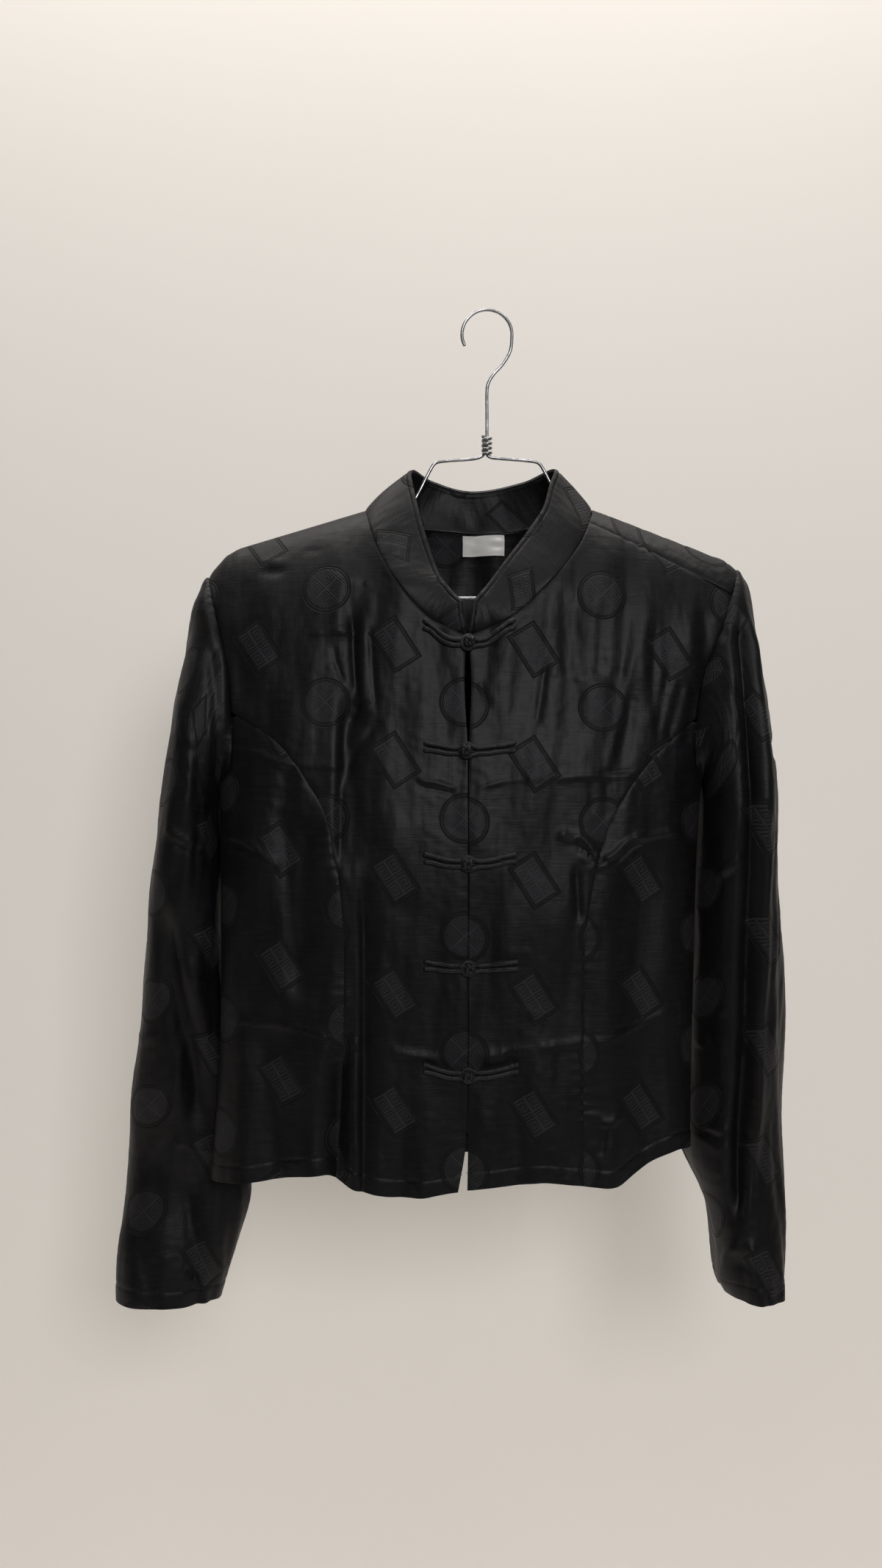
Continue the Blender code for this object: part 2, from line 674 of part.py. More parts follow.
def tube_normals(points):
    """Outward normals of a closed grid, from its neighbours."""
    rows, columns = len(points), len(points[0])
    normals = []
    for j in range(rows):
        centre = sum(points[j], Vector()) / columns
        line = []
        for k in range(columns):
            across = points[j][(k + 1) % columns] - points[j][k - 1]
            up = points[min(j + 1, rows - 1)][k] - points[max(j - 1, 0)][k]
            normal = across.cross(up).normalized()
            if normal.dot(points[j][k] - centre) < 0:
                normal.negate()
            line.append(normal)
        normals.append(line)
    return normals


def collar_seam_point(necks, step):
    """Point of the neckline seam at a step along the collar."""
    right, left, back = necks
    third, rest = divmod(step, NECK_STEPS)
    if step == 3 * NECK_STEPS:
        third, rest = 2, NECK_STEPS
    t = rest / NECK_STEPS
    points, t, face = ((right, 1.0 - t, -1), (back, t, 1), (left, t, -1))[third]
    x, z = path_at(points, t)
    return body_point(face, share_from_x(x, z), z)


def make_collar(necks, silk):
    """Stand collar, open at the centre front."""
    columns = 3 * NECK_STEPS
    points = []
    for j in range(COLLAR_ROWS + 1):
        line = []
        for i in range(columns + 1):
            seam = collar_seam_point(necks, i)
            top = Vector(row_at(COLLAR_TOP, i / columns))
            base = seam + (top - seam).normalized() * COLLAR_GAP
            belly = 0.002 * math.sin(math.pi * j / COLLAR_ROWS)
            point = base.lerp(top, j / COLLAR_ROWS)
            away = Vector((point.x + 0.005, point.y - 0.005, 0.0)).normalized()
            line.append(point + away * belly)
        points.append(line)
    normals = []
    for j in range(COLLAR_ROWS + 1):
        line = []
        for i in range(columns + 1):
            across = points[j][min(i + 1, columns)] - points[j][max(i - 1, 0)]
            up = points[min(j + 1, COLLAR_ROWS)][i] - points[max(j - 1, 0)][i]
            line.append(up.cross(across).normalized())
        normals.append(line)
    return cut_wall("collar", silk, points, normals, COLLAR_CLOTH)


def front_place(x, z, out):
    """Point on the front, moved out from the cloth."""
    share = share_from_x(x, z)
    return body_point(-1, share, z) + body_normal(-1, share, z) * (CLOTH / 2 + SEAM_GAP + out)


def make_frog(number, row, cord):
    """One closure: button half, ball knot and loop half."""
    x, z, right, left, rise = row
    apart = CORD_RADIUS + SEAM_GAP
    for half, side, reach in (("button", -1, right), ("loop", 1, left)):
        start = LOOP_RADIUS + 2 * CORD_RADIUS + 0.0012
        upper, lower = [], []
        steps = 4
        for k in range(steps + 1):
            t = k / steps
            away = start + (reach - CORD_RADIUS - apart - start) * t
            centre_z = z + rise * smooth(t) * (0.4 + 0.6 * t)
            for line, sign in ((upper, 1), (lower, -1)):
                line.append((x + side * away, centre_z + sign * apart))
        turn = []
        end_x, end_z = upper[-1][0], (upper[-1][1] + lower[-1][1]) / 2
        for k in range(1, 4):
            angle = math.pi / 2 - math.pi * k / 4
            turn.append((end_x + side * apart * math.cos(angle), end_z + apart * math.sin(angle)))
        route = upper + turn + lower[::-1]
        if half == "loop":
            neck = []
            for k in range(8):
                angle = math.radians(40 + 280 * k / 7)
                neck.append((x + LOOP_RADIUS * math.cos(angle), z + LOOP_RADIUS * math.sin(angle)))
            route = neck + lower + [(a, b) for a, b in turn[::-1]] + upper[::-1]
        points = [front_place(px, pz, CORD_RADIUS) for px, pz in route]
        tube(f"frog_{number}_{half}", points, CORD_RADIUS, cord, closed=half == "loop")
    centre = front_place(x, z, CORD_RADIUS + KNOT_RISE)
    mesh = bmesh.new()
    bmesh.ops.create_icosphere(mesh, subdivisions=2, radius=KNOT_RADIUS)
    bmesh.ops.translate(mesh, verts=mesh.verts, vec=centre)
    add_object(f"frog_{number}_knot", mesh, cord)


def make_label(satin):
    """Plain label inside the back neck."""
    points, normals = [], []
    rows, columns = 2, 6
    centre_x, top_z = -0.0025, -0.1712
    inset = CLOTH / 2 + SEAM_GAP + LABEL_CLOTH / 2
    for j in range(rows + 1):
        z = top_z - LABEL_HEIGHT * (1 - j / rows)
        line, normal_line = [], []
        for i in range(columns + 1):
            x = centre_x + LABEL_WIDTH * (i / columns - 0.5)
            share = share_from_x(x, z)
            normal = body_normal(1, share, z)
            line.append(body_point(1, share, z) - normal * (inset + LABEL_CLEARANCE))
            normal_line.append(normal)
        points.append(line)
        normals.append(normal_line)
    return cut_wall("neck_label", satin, points, normals, LABEL_CLOTH)


def arc_points(centre, radius, start, end, count):
    """Points of an arc in the hanger's plane, angles in degrees."""
    points = []
    for k in range(count + 1):
        angle = math.radians(start + (end - start) * k / count)
        points.append(Vector((
            centre[0] + radius * math.cos(angle), 0.0, centre[1] + radius * math.sin(angle))))
    return points


def make_hanger(steel):
    """One wire: hook, stem, left arm, bottom bar, right arm, twist."""
    hook_centre = (0.0, WIRE_RADIUS - HOOK_RADIUS)
    hook = arc_points(hook_centre, HOOK_RADIUS, 205, 0, 14)
    swan = [(0.0184, -0.0310), (0.0125, -0.0415), (0.0050, -0.0500), (0.0010, -0.0570)]
    stem = [(0.0, -0.0640), (0.0, COIL_TOP), (0.0, COIL_BOTTOM + 0.001)]
    left_arm = [(0.0025, -0.1150), (0.0100, -0.1160), (0.0380, -0.1187), (0.0425, -0.1215),
                (0.0560, -0.1465), (0.0610, -0.1525), (0.0700, -0.1565), (0.1300, -0.1798),
                (0.1800, -0.2005)]
    left_end = arc_points((0.1785, -0.2138), 0.0125, 72, -95, 7)
    bar = [(0.1500, -0.2262), (-0.1600, -0.2262)]
    right_end = arc_points((-0.1820, -0.2120), 0.0140, -95, -252, 7)
    right_arm = [(-0.1300, -0.1758), (-0.0700, -0.1562), (-0.0610, -0.1520), (-0.0560, -0.1470),
                 (-0.0425, -0.1215), (-0.0380, -0.1187), (-0.0120, -0.1165), (-0.0060, -0.1152)]
    route = hook + [Vector((x, 0.0, z)) for x, z in swan + stem + left_arm]
    route += left_end + [Vector((x, 0.0, z)) for x, z in bar] + right_end
    route += [Vector((x, 0.0, z)) for x, z in right_arm]
    steps = COIL_TURNS * 9
    for k in range(steps + 1):
        angle = math.pi + 2 * math.pi * COIL_TURNS * k / steps
        route.append(Vector((
            COIL_RADIUS * math.cos(angle), COIL_RADIUS * math.sin(angle),
            COIL_BOTTOM + (COIL_TOP - COIL_BOTTOM) * k / steps)))
    return tube("hanger_wire", route, WIRE_RADIUS, steel, resolution=1)


def main():
    """Build every piece."""
    clear_scene()
    silk = finish("silk_jacquard", (0.012, 0.012, 0.014), 0.42)
    cord = finish("frog_cord", (0.010, 0.010, 0.011), 0.50)
    satin = finish("label_satin", (0.80, 0.79, 0.76), 0.45)
    steel = finish("galvanised_wire", (0.62, 0.62, 0.61), 0.30, 1.0)
    right_front = armhole_path(ARMHOLE_RIGHT_FRONT, ARM_TOP_RIGHT)
    left_front = armhole_path(ARMHOLE_LEFT_FRONT, ARM_TOP_LEFT)
    right_back = armhole_path(ARMHOLE_RIGHT_BACK, ARM_TOP_RIGHT)
    left_back = armhole_path(ARMHOLE_LEFT_BACK, ARM_TOP_LEFT)
    neck_right, neck_left, neck_back = neck_paths()
    make_front("right", -1, FRONT_EDGE_RIGHT, PRINCESS_RIGHT, right_front, neck_right, silk)
    make_front("left", 1, FRONT_EDGE_LEFT, PRINCESS_LEFT, left_front, neck_left, silk)
    make_back((right_back, left_back), neck_back, silk)
    make_sleeve("sleeve_right", SLEEVE_RIGHT, right_front, right_back,
                PRINCESS_RIGHT[-1][1], False, silk)
    make_sleeve("sleeve_left", SLEEVE_LEFT, left_front, left_back,
                PRINCESS_LEFT[-1][1], True, silk)
    make_collar((neck_right, neck_left, neck_back), silk)
    make_label(satin)
    for number, row in enumerate(FROGS, start=1):
        make_frog(number, row, cord)
    make_hanger(steel)


main()
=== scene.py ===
"""Looks of a woman's silk tang jacket hung on a galvanised wire hanger.

Metres, +Z up. The origin is the inner top of the hanger's hook. The jacket's
front faces -Y, so the wearer's right side is at -X. Every cloth piece is a
thin closed wall laid over the jacket's form, with its folds, creases, seams
and hems in its own sizes.
"""
import logging
import math
from dataclasses import dataclass
from enum import Enum
from functools import reduce
from typing import Callable, Sequence

import bpy
import numpy as np
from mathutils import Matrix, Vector


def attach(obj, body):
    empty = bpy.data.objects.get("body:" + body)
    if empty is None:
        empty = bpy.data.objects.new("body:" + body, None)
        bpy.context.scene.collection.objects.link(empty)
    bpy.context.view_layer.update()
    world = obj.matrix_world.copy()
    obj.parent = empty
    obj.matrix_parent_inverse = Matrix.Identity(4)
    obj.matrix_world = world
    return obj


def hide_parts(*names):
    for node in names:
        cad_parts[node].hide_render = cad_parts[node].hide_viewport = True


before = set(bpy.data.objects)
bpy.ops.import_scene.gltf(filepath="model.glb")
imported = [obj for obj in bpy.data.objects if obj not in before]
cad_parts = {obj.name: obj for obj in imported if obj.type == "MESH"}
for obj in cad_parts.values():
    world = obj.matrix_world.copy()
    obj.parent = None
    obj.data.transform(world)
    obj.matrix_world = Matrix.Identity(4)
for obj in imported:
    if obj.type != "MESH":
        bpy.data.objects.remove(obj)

LOG = logging.getLogger("tang_jacket")
Array, Object, Material = np.ndarray, bpy.types.Object, bpy.types.Material
Socket, Node, Tree = bpy.types.NodeSocket, bpy.types.Node, bpy.types.NodeTree
Pair, Triple, Quad = tuple[float, float], tuple[float, float, float], tuple[float, float, float, float]
Edge = Callable[[Array], Array]        # places 0..1 along an edge to (share, z) pairs
Points = tuple[Pair, ...]
FRONT, BACK = -1.0, 1.0                # the two faces of the jacket's body


def smooth(value: Array) -> Array:
    """Smooth step from 0 to 1."""
    value = np.clip(value, 0.0, 1.0)
    return value * value * (3.0 - 2.0 * value)


def unit(vectors: Array) -> Array:
    """Vectors scaled to a length of 1."""
    return vectors / np.maximum(np.linalg.norm(vectors, axis=-1, keepdims=True), 1e-12)


def bell(distance: Array, width: float) -> Array:
    """Bell curve, 1 at no distance."""
    return np.exp(-((distance / width) ** 2))


def waves(across: Array, along: Array, size_across: float, size_along: float, seed: int) -> Array:
    """Seeded soft random waves.

    Args:
        across, along: places in metres.
        size_across, size_along: rough wavelengths in metres.
        seed: which set of waves.

    Returns:
        Heights of about -1 to 1.
    """
    chance = np.random.default_rng(seed)
    total = np.zeros(np.shape(across))
    count = 14
    for _ in range(count):
        turn, phase = chance.uniform(0.0, 2.0 * math.pi, 2)
        pace = chance.uniform(0.6, 1.7) * 2.0 * math.pi
        route = math.cos(turn) * across / size_across + math.sin(turn) * along / size_along
        total = total + np.sin(pace * route + phase)
    return total / math.sqrt(count)


@dataclass(frozen=True)
class Table:
    """Rows of numbers, read on a smooth curve through them by their first column."""

    rows: tuple[tuple[float, ...], ...]

    def at(self, key: Array) -> Array:
        """Values at keys.

        Args:
            key: any shape; clamped to the table.

        Returns:
            The other columns, in a last axis.
        """
        rows = np.array(sorted(self.rows))
        keys, values = rows[:, 0], rows[:, 1:]
        key = np.clip(np.asarray(key, float), keys[0], keys[-1])
        low = np.clip(np.searchsorted(keys, key, side="right") - 1, 0, len(keys) - 2)
        high, before = low + 1, np.maximum(low - 1, 0)
        after = np.minimum(low + 2, len(keys) - 1)
        span = (keys[high] - keys[low])[..., None]
        t = (key - keys[low])[..., None] / span
        start = (values[high] - values[before]) / (keys[high] - keys[before])[..., None] * span
        end = (values[after] - values[low]) / (keys[after] - keys[low])[..., None] * span
        return (
            (2 * t**3 - 3 * t**2 + 1) * values[low] + (t**3 - 2 * t**2 + t) * start
            + (3 * t**2 - 2 * t**3) * values[high] + (t**3 - t**2) * end
        )


def lengths_along(points: Array, axis: int = 0) -> Array:
    """Distance of each point from the first of its row (axis 1) or column (axis 0)."""
    steps = np.linalg.norm(np.diff(points, axis=axis), axis=-1)
    start = np.zeros_like(np.take(steps, [0], axis))
    return np.concatenate([start, np.cumsum(steps, axis)], axis)


def path_at(points: Sequence[Sequence[float]], t: Array) -> Array:
    """Places at shares t, by length, of a smooth curve through points."""
    places = np.array(points, float)
    lengths = lengths_along(places)
    rows = tuple(map(tuple, np.column_stack([lengths, places])))
    return Table(rows).at(np.asarray(t, float) * lengths[-1])


class Form(Enum):
    """How the cloth bends at a crease."""

    FOLD = "round trough or ridge"
    PRESS = "sharp line pressed in storage"
    ROLL = "steep on one side, long on the other"


@dataclass(frozen=True)
class Crease:
    """A bend of the cloth along a line, fading out at both ends.

    Fields: the line's (x, z) points, its half width, how far it stands out
    (negative sinks in), its form and the share of its length it takes to fade.
    """

    line: Points
    width: float
    rise: float
    form: Form
    fade: float

    def offset(self, x: Array, z: Array) -> Array:
        """Distance out of the cloth that the crease adds at places (x, z)."""
        total = np.zeros(x.shape)
        line = path_at(self.line, np.linspace(0.0, 1.0, 4 * len(self.line)))
        reach = 4.0 * self.width
        low, high = line.min(axis=0) - reach, line.max(axis=0) + reach
        near = (x > low[0]) & (x < high[0]) & (z > low[1]) & (z < high[1])
        if not near.any():
            return total
        place = np.column_stack([x[near], z[near]])
        best = np.full(len(place), 1e9)
        side, along = np.zeros(len(place)), np.zeros(len(place))
        for index, (start, end) in enumerate(zip(line, line[1:])):
            run = end - start
            part = np.clip((place - start) @ run / (run @ run), 0.0, 1.0)
            gap = place - (start + part[:, None] * run)
            distance = np.hypot(gap[:, 0], gap[:, 1])
            closer = distance < best
            best = np.where(closer, distance, best)
            turned = run[0] * gap[:, 1] - run[1] * gap[:, 0]
            side = np.where(closer, np.sign(turned), side)
            along = np.where(closer, (index + part) / (len(line) - 1), along)
        taper = smooth(along / self.fade) * smooth((1.0 - along) / self.fade)
        if self.form is Form.FOLD:
            profile = bell(best, self.width)
        elif self.form is Form.PRESS:
            profile = 1.0 / (1.0 + (best / self.width) ** 2) ** 1.5
        else:
            steep = max(0.35 * self.width, 0.0034)
            profile = np.where(side > 0.0, bell(best, self.width), bell(best, steep))
        total[near] = self.rise * taper * profile
        return total


def line(*numbers: float) -> Points:
    """Points (x, z) in metres from x and z of each in turn, in mm."""
    return tuple((x / 1000, z / 1000) for x, z in zip(numbers[::2], numbers[1::2]))


def creases(form: Form, *rows: tuple[float, ...]) -> tuple[Crease, ...]:
    """Creases of one form.

    Args:
        form: of them all.
        rows: half width and rise in mm, share of the length taken to fade,
            then x and z of each point of the line in mm.

    Returns:
        The creases, in metres.
    """
    return tuple(Crease(line(*places), width / 1000, rise / 1000, form, fade)
                 for width, rise, fade, *places in rows)


def creased(bends: Sequence[Crease], x: Array, z: Array) -> Array:
    """Sum of all the creases at places (x, z)."""
    return sum((bend.offset(x, z) for bend in bends), np.zeros(x.shape))


# Folds of the hanging fronts
FRONT_FOLDS = creases(
    Form.ROLL,
    (12.5, -6.8, 0.22, -107.5, -295, -109.5, -345, -111, -400, -110.5, -445),
    (7.8, -5.2, 0.22, -94.5, -425, -94, -500, -94.5, -600, -95, -720),
    (16, -4.4, 0.22, -157, -375, -152, -440, -147.5, -500, -145, -545),
) + creases(
    Form.FOLD,
    (10, -3, 0.22, -106, -215, -96, -345),
    (3, -2.4, 0.22, -103.7, -240, -102.4, -277, -99.1, -311),
    (3.5, 1.2, 0.22, -95, -235, -95, -290, -93.5, -330),
    (2.6, -1.6, 0.22, -89.8, -250, -88, -280, -84.3, -325),
    (4, -2.2, 0.22, -82.4, -318, -89.8, -336, -103.7, -354, -107.9, -378),
    (4.5, 1.6, 0.22, -109.2, -350, -107.8, -380, -107.4, -430),
    (2.6, -1.3, 0.22, -118.4, -264, -114.8, -284, -108.3, -299),
    (2.2, -1.4, 0.22, -96.3, -310, -106, -329),
    (5.5, 1.4, 0.22, -113.8, -205, -112.5, -268),
    (12, 1.2, 0.22, -74, -210, -70, -330),
    (9.5, -2.2, 0.22, -204, -248, -195, -275, -186, -320),
    (6.5, -2, 0.22, -153.5, -358, -153, -392),
    (8.5, -3, 0.22, -140, -395, -137, -450, -136, -505),
    (12, 1.6, 0.22, -186, -380, -184, -470, -187, -560),
    (15, -7.8, 0.22, -168, -530, -164, -600, -160, -660, -159, -740),
    (8, 2.5, 0.22, -190, -540, -189, -740),
    (12, 2.8, 0.22, -135, -560, -133, -740),
    (8.5, -9.5, 0.35, -110, -535, -112.5, -590, -116, -740),
    (6, 2, 0.22, -102, -560, -103, -740),
    (8, -2.2, 0.22, -64, -600, -64, -740),
    (11, 1.8, 0.22, -50, -560, -49, -740),
    (8, -1.2, 0.22, -30, -275, -33, -345),
    (14, 1.2, 0.22, -60, -390, -59, -470),
    (2.8, -2, 0.22, 44, -276, 40, -300, 35.5, -333),
    (5, -1.2, 0.22, 56, -215, 57, -300),
    (6.5, -1.5, 0.22, 84.5, -235, 82, -300),
    (6, 1.4, 0.22, 97, -215, 95, -300),
    (4, 2.2, 0.22, 112, -255, 106, -290, 99, -322, 86, -372),
    (9.5, -3.4, 0.35, 115, -285, 106, -325, 94, -372),
    (4.2, -2.6, 0.22, 125, -245, 124, -325),
    (3.2, -1.8, 0.22, 139, -280, 126, -340),
    (4, -2, 0.22, 149, -290, 135, -345),
    (4.6, -2.6, 0.22, 160, -294, 149, -350),
    (5.5, -2.2, 0.22, 165, -232, 166, -300),
    (3, -1.3, 0.22, 78, -366, 77, -396),
    (3.4, -1.5, 0.22, 89, -366, 88, -402),
    (3.4, -2.8, 0.22, 65, -432, 66, -455, 67.4, -478),
    (10, 3, 0.12, 90, -400, 90, -480, 90, -560, 91.5, -740),
    (15, -8.5, 0.14, 113, -405, 116, -500, 117, -600, 120, -740),
    (8, 2.5, 0.22, 140, -430, 142, -740),
    (22, 2.2, 0.22, 42, -420, 44, -560, 43, -740),
    (12, -1.4, 0.22, 16, -560, 20, -740),
    (3.4, 1.4, 0.22, 72, -620, 91.5, -629, 102, -621),
    (2.6, -1.2, 0.22, 87.5, -631, 85, -655),
)

# Sharp lines pressed into the fronts by long storage, and the small dints about them
FRONT_PRESSES = creases(
    Form.PRESS,
    (2.2, 1.9, 0.08, -205, -348.5, -176.9, -350, -154.1, -357.6, -108.5, -361.2),
    (2.2, -1.2, 0.22, -154.1, -359.2, -108.5, -362.8),
    (2.2, 0.8, 0.22, -87, -362, -72, -364.5),
    (2.8, 1.3, 0.22, -56, -370, -40, -372.2, -22.9, -377.6),
    (2.7, -1, 0.22, -56, -373.5, -22.9, -381),
    (2.2, 1, 0.22, -13, -377.2, 19.4, -369.3, 50, -367.6),
    (2.2, 1.7, 0.1, 47, -369, 69.4, -366.8, 90, -366.8, 111, -365),
    (1.9, -1.7, 0.22, 80, -365, 111, -363.4),
    (2.4, 2.6, 0.1, -206, -412.5, -189, -415, -174, -423, -158, -437),
    (2.2, 1.9, 0.1, -206, -420.5, -185, -424, -170, -431, -158, -438.5),
    (2.2, -0.8, 0.22, -150, -410.5, -110, -413),
    (2.6, 3.1, 0.12, 50, -409.5, 60, -412.8, 70, -414, 78.3, -424.7, 83.8, -430.3),
    (2.3, 2.2, 0.22, 67, -424.5, 77, -431),
    (2.4, 3.4, 0.1, 83.8, -430.3, 93, -426.6, 106, -415.5, 120.7, -412.7, 146, -408.8),
    (2.3, 2.2, 0.22, 70, -436, 85, -434.5, 98, -429),
    (2.2, 1.6, 0.22, 109, -412, 119, -410.5),
    (2, 1.8, 0.08, -208, -553, -190, -553.2, -150.2, -556, -110.7, -567.8),
    (2, -1, 0.22, -150.2, -558, -110.7, -570),
    (2.4, 1.4, 0.22, -106, -568, -97, -569.4),
    (3, 1.6, 0.22, -77, -573.5, -58.5, -576.2, -34, -579),
    (2.2, 1.2, 0.22, -14, -577.5, 13, -573.5, 36, -570.6),
    (3, 1.7, 0.22, -6, -579, 14, -576),
    (2, 1.9, 0.08, 34, -571, 72.2, -567.2, 96, -564, 113, -557, 140, -547.5),
    (1.9, -1.4, 0.22, 72.2, -565.5, 96, -562, 113, -555.2),
    (2.3, 1.2, 0.22, -178.7, -199, -164, -201.8, -153, -203),
    (2.2, 1.7, 0.12, -134.5, -260, -120, -256.8, -113, -256.5, -100, -260),
    (3, 1, 0.22, 42, -287, 60, -290.5, 73, -296),
    (3.2, 0.7, 0.22, 8, -240, 33, -246),
    (2.7, 0.7, 0.22, 170, -383, 190, -376),
    (2.4, 0.6, 0.22, 12, -501, 33, -498.5),
    (2.4, 0.7, 0.22, 20, -544, 42, -545.2),
) + creases(
    Form.FOLD,
    (2.6, -2.4, 0.22, -206, -416.5, -188, -420.5, -174, -429),
    (2.6, -2.2, 0.22, 58, -415, 68, -420, 79, -430),
    (2.6, -2.6, 0.22, 86, -433, 96, -430.5, 108, -420, 120, -416),
    (3, -1.8, 0.22, -176, -208.6, -165, -210.5, -154, -209.6),
    (3, -1.3, 0.22, -108, -221.8, -92, -223),
    (2, -1.1, 0.22, -142, -192.5, -128, -195),
    (3, -1.2, 0.22, -8, -295, 1, -318),
)

# Folds and pressed lines of the back, chosen to hang like the fronts
BACK_FOLDS = creases(
    Form.FOLD,
    (16, -4.5, 0.22, -130, -240, -122, -400, -115, -600),
    (22, -4, 0.22, -20, -400, -30, -560, -30, -740),
    (15, -5, 0.22, 95, -250, 88, -430, 80, -650),
    (16, 3.5, 0.22, -75, -520, -80, -740),
    (17, 3.8, 0.22, 35, -540, 32, -740),
    (14, 3, 0.22, -166, -500, -168, -740),
    (12, 2.6, 0.22, 120, -520, 125, -740),
    (6, -2.8, 0.22, -185, -260, -165, -330),
    (8, -2.2, 0.22, -170, -245, -150, -340),
    (6, -3, 0.22, 150, -262, 130, -335),
    (7, -2.2, 0.22, 135, -240, 120, -330),
    (9, -1.8, 0.22, -50, -195, -70, -300),
    (9, -1.8, 0.22, 35, -195, 55, -310),
    (18, 1.6, 0.22, -7.2, -200, -8, -330),
)
BACK_PRESSES = creases(
    Form.PRESS,
    (2.4, 1.8, 0.08, -206, -350, -150, -356, -90, -352, -30, -357),
    (2.4, 1.7, 0.08, -15, -360, 50, -353, 100, -356, 160, -350),
    (2.7, 2.6, 0.22, -205, -414, -170, -423, -130, -418),
    (2.4, 1.4, 0.22, -105, -420, -40, -415, 25, -421.5),
    (2.7, 2.4, 0.22, 50, -419, 95, -427, 150, -413),
    (2.2, 1.8, 0.08, -205, -553, -120, -560, -50, -556),
    (2.2, 1.8, 0.08, -40, -558, 40, -565, 100, -558, 155, -552),
    (2.4, 1.2, 0.22, -90, -250, -50, -254),
    (2.4, 1.2, 0.22, 60, -245, 95, -249),
) + creases(
    Form.FOLD,
    (2.8, -2.2, 0.22, -190, -420, -160, -428, -140, -425),
    (3.2, 1.4, 0.22, -70, -622, -45, -628, -30, -623),
)


@dataclass(frozen=True)
class BodyForm:
    """Outer form of the jacket's body as it hangs over the wire.

    A place on it is a face (FRONT or BACK), a share -1..1 across the body and
    a height. Heights above the shoulder ridge run down the other face.
    """

    sections: Table = Table((
        # z       left     right   front   back    square_left square_right
        (-0.150, -0.2620, 0.2420, 0.0400, 0.0360, 2.4, 2.4),
        (-0.260, -0.2400, 0.2060, 0.0440, 0.0380, 2.5, 2.4),
        (-0.330, -0.2160, 0.1760, 0.0500, 0.0400, 2.7, 2.4),
        (-0.372, -0.2100, 0.1680, 0.0540, 0.0410, 2.8, 2.3),
        (-0.440, -0.2085, 0.1640, 0.0560, 0.0400, 2.8, 2.1),
        (-0.520, -0.2085, 0.1620, 0.0520, 0.0400, 2.8, 2.1),
        (-0.600, -0.2100, 0.1600, 0.0500, 0.0430, 2.8, 2.2),
        (-0.690, -0.2170, 0.1590, 0.0500, 0.0460, 2.8, 2.3),
    ))
    ridge_line: Points = line(
        -300, -330, -222.4, -214.9, -205, -190.5, -96, -158, -7.2, -130, 81.5, -156.5, 195.8, -200.4,
        206.2, -218.4, 270, -340)
    ridge_ease: float = 0.010
    shoulder_drop: float = 0.085
    shoulder_power: float = 1.7

    def ridge(self, x: Array) -> Array:
        """Height of the shoulder ridge, with its corners eased."""
        xs, zs = np.array(self.ridge_line).T
        ease = self.ridge_ease
        return (np.interp(x - ease, xs, zs) + 2 * np.interp(x, xs, zs) + np.interp(x + ease, xs, zs)) / 4

    def ridge_point(self, x: float, lap: float = 0.0) -> Pair:
        """Place on the ridge, or a lap past it down the other face."""
        return x, float(self.ridge(np.array(x))) + lap

    def share(self, x: Array, z: Array) -> Array:
        """Share across the body at which its section passes x."""
        left, right, _, _, square_left, square_right = np.moveaxis(self.sections.at(z), -1, 0)
        part = np.clip((x - (left + right) / 2) / ((right - left) / 2), -1.0, 1.0)
        power = np.where(part < 0, square_left, square_right)
        return np.copysign(np.arcsin(np.abs(part) ** (power / 2)), part) * 2 / math.pi

    def bare(self, face: float, share: Array, z: Array) -> tuple[Array, Array, Array, Array]:
        """The surface without its folds.

        Args:
            face: FRONT or BACK.
            share, z: arrays of one shape.

        Returns:
            Points (x, y, z), the face each lies on, how far it is from the
            side seams (0 on them) and its distance below the ridge.
        """
        left, right, front, back, square_left, square_right = np.moveaxis(self.sections.at(z), -1, 0)
        power = np.where(share < 0, square_left, square_right)
        angle = share * math.pi / 2
        spread = np.copysign(np.abs(np.sin(angle)) ** (2 / power), share)
        x = (left + right) / 2 + (right - left) / 2 * spread
        full = np.maximum(np.cos(angle), 0.0) ** (2 / power)
        below = self.ridge(x) - z
        side = np.where(below < 0.0, -face, face)
        z = np.where(below < 0.0, z + 2 * below, z)
        below = np.abs(below)
        near = np.minimum(below / self.shoulder_drop, 1.0)
        rounding = (1.0 - (1.0 - near) ** self.shoulder_power) ** (1.0 / self.shoulder_power)
        depth = np.where(side < 0, front, back)
        return np.stack([x, side * depth * full * rounding, z], axis=-1), side, full, below

    def place(self, face: float, share: Array, z: Array) -> Array:
        """Points of the surface at shares and heights, folds included."""
        point, side, full, below = self.bare(face, share, z)
        x, z = point[..., 0], point[..., 2]
        in_front = side < 0
        folds = np.where(in_front, creased(FRONT_FOLDS, x, z), creased(BACK_FOLDS, x, z))
        fine = np.where(in_front, creased(FRONT_PRESSES, x, z), creased(BACK_PRESSES, x, z))
        flow = waves(x, z, 0.045, 0.160, 3) * 0.0011 + waves(x, z, 0.018, 0.075, 5) * 0.00035
        fine = fine + waves(x, z, 0.014, 0.011, 7) * 0.00010 + np.where(in_front, 0.0, 0.3) * flow
        out = (folds + flow) * smooth(below / 0.06) + fine * smooth(below / 0.015)
        point[..., 1] += side * out * full
        return point

    def spot(self, face: float, x: Array, z: Array) -> tuple[Array, Array]:
        """Points of the surface at places (x, z), and their outward normals."""
        x, z = np.asarray(x, float), np.asarray(z, float)
        step = 0.0015
        point = self.place(face, self.share(x, z), z)
        across = self.place(face, self.share(x + step, z), z) - self.place(face, self.share(x - step, z), z)
        up = self.place(face, self.share(x, z + step), z + step) - self.place(
            face, self.share(x, z - step), z - step)
        return point, unit(np.cross(across, up) * -face)

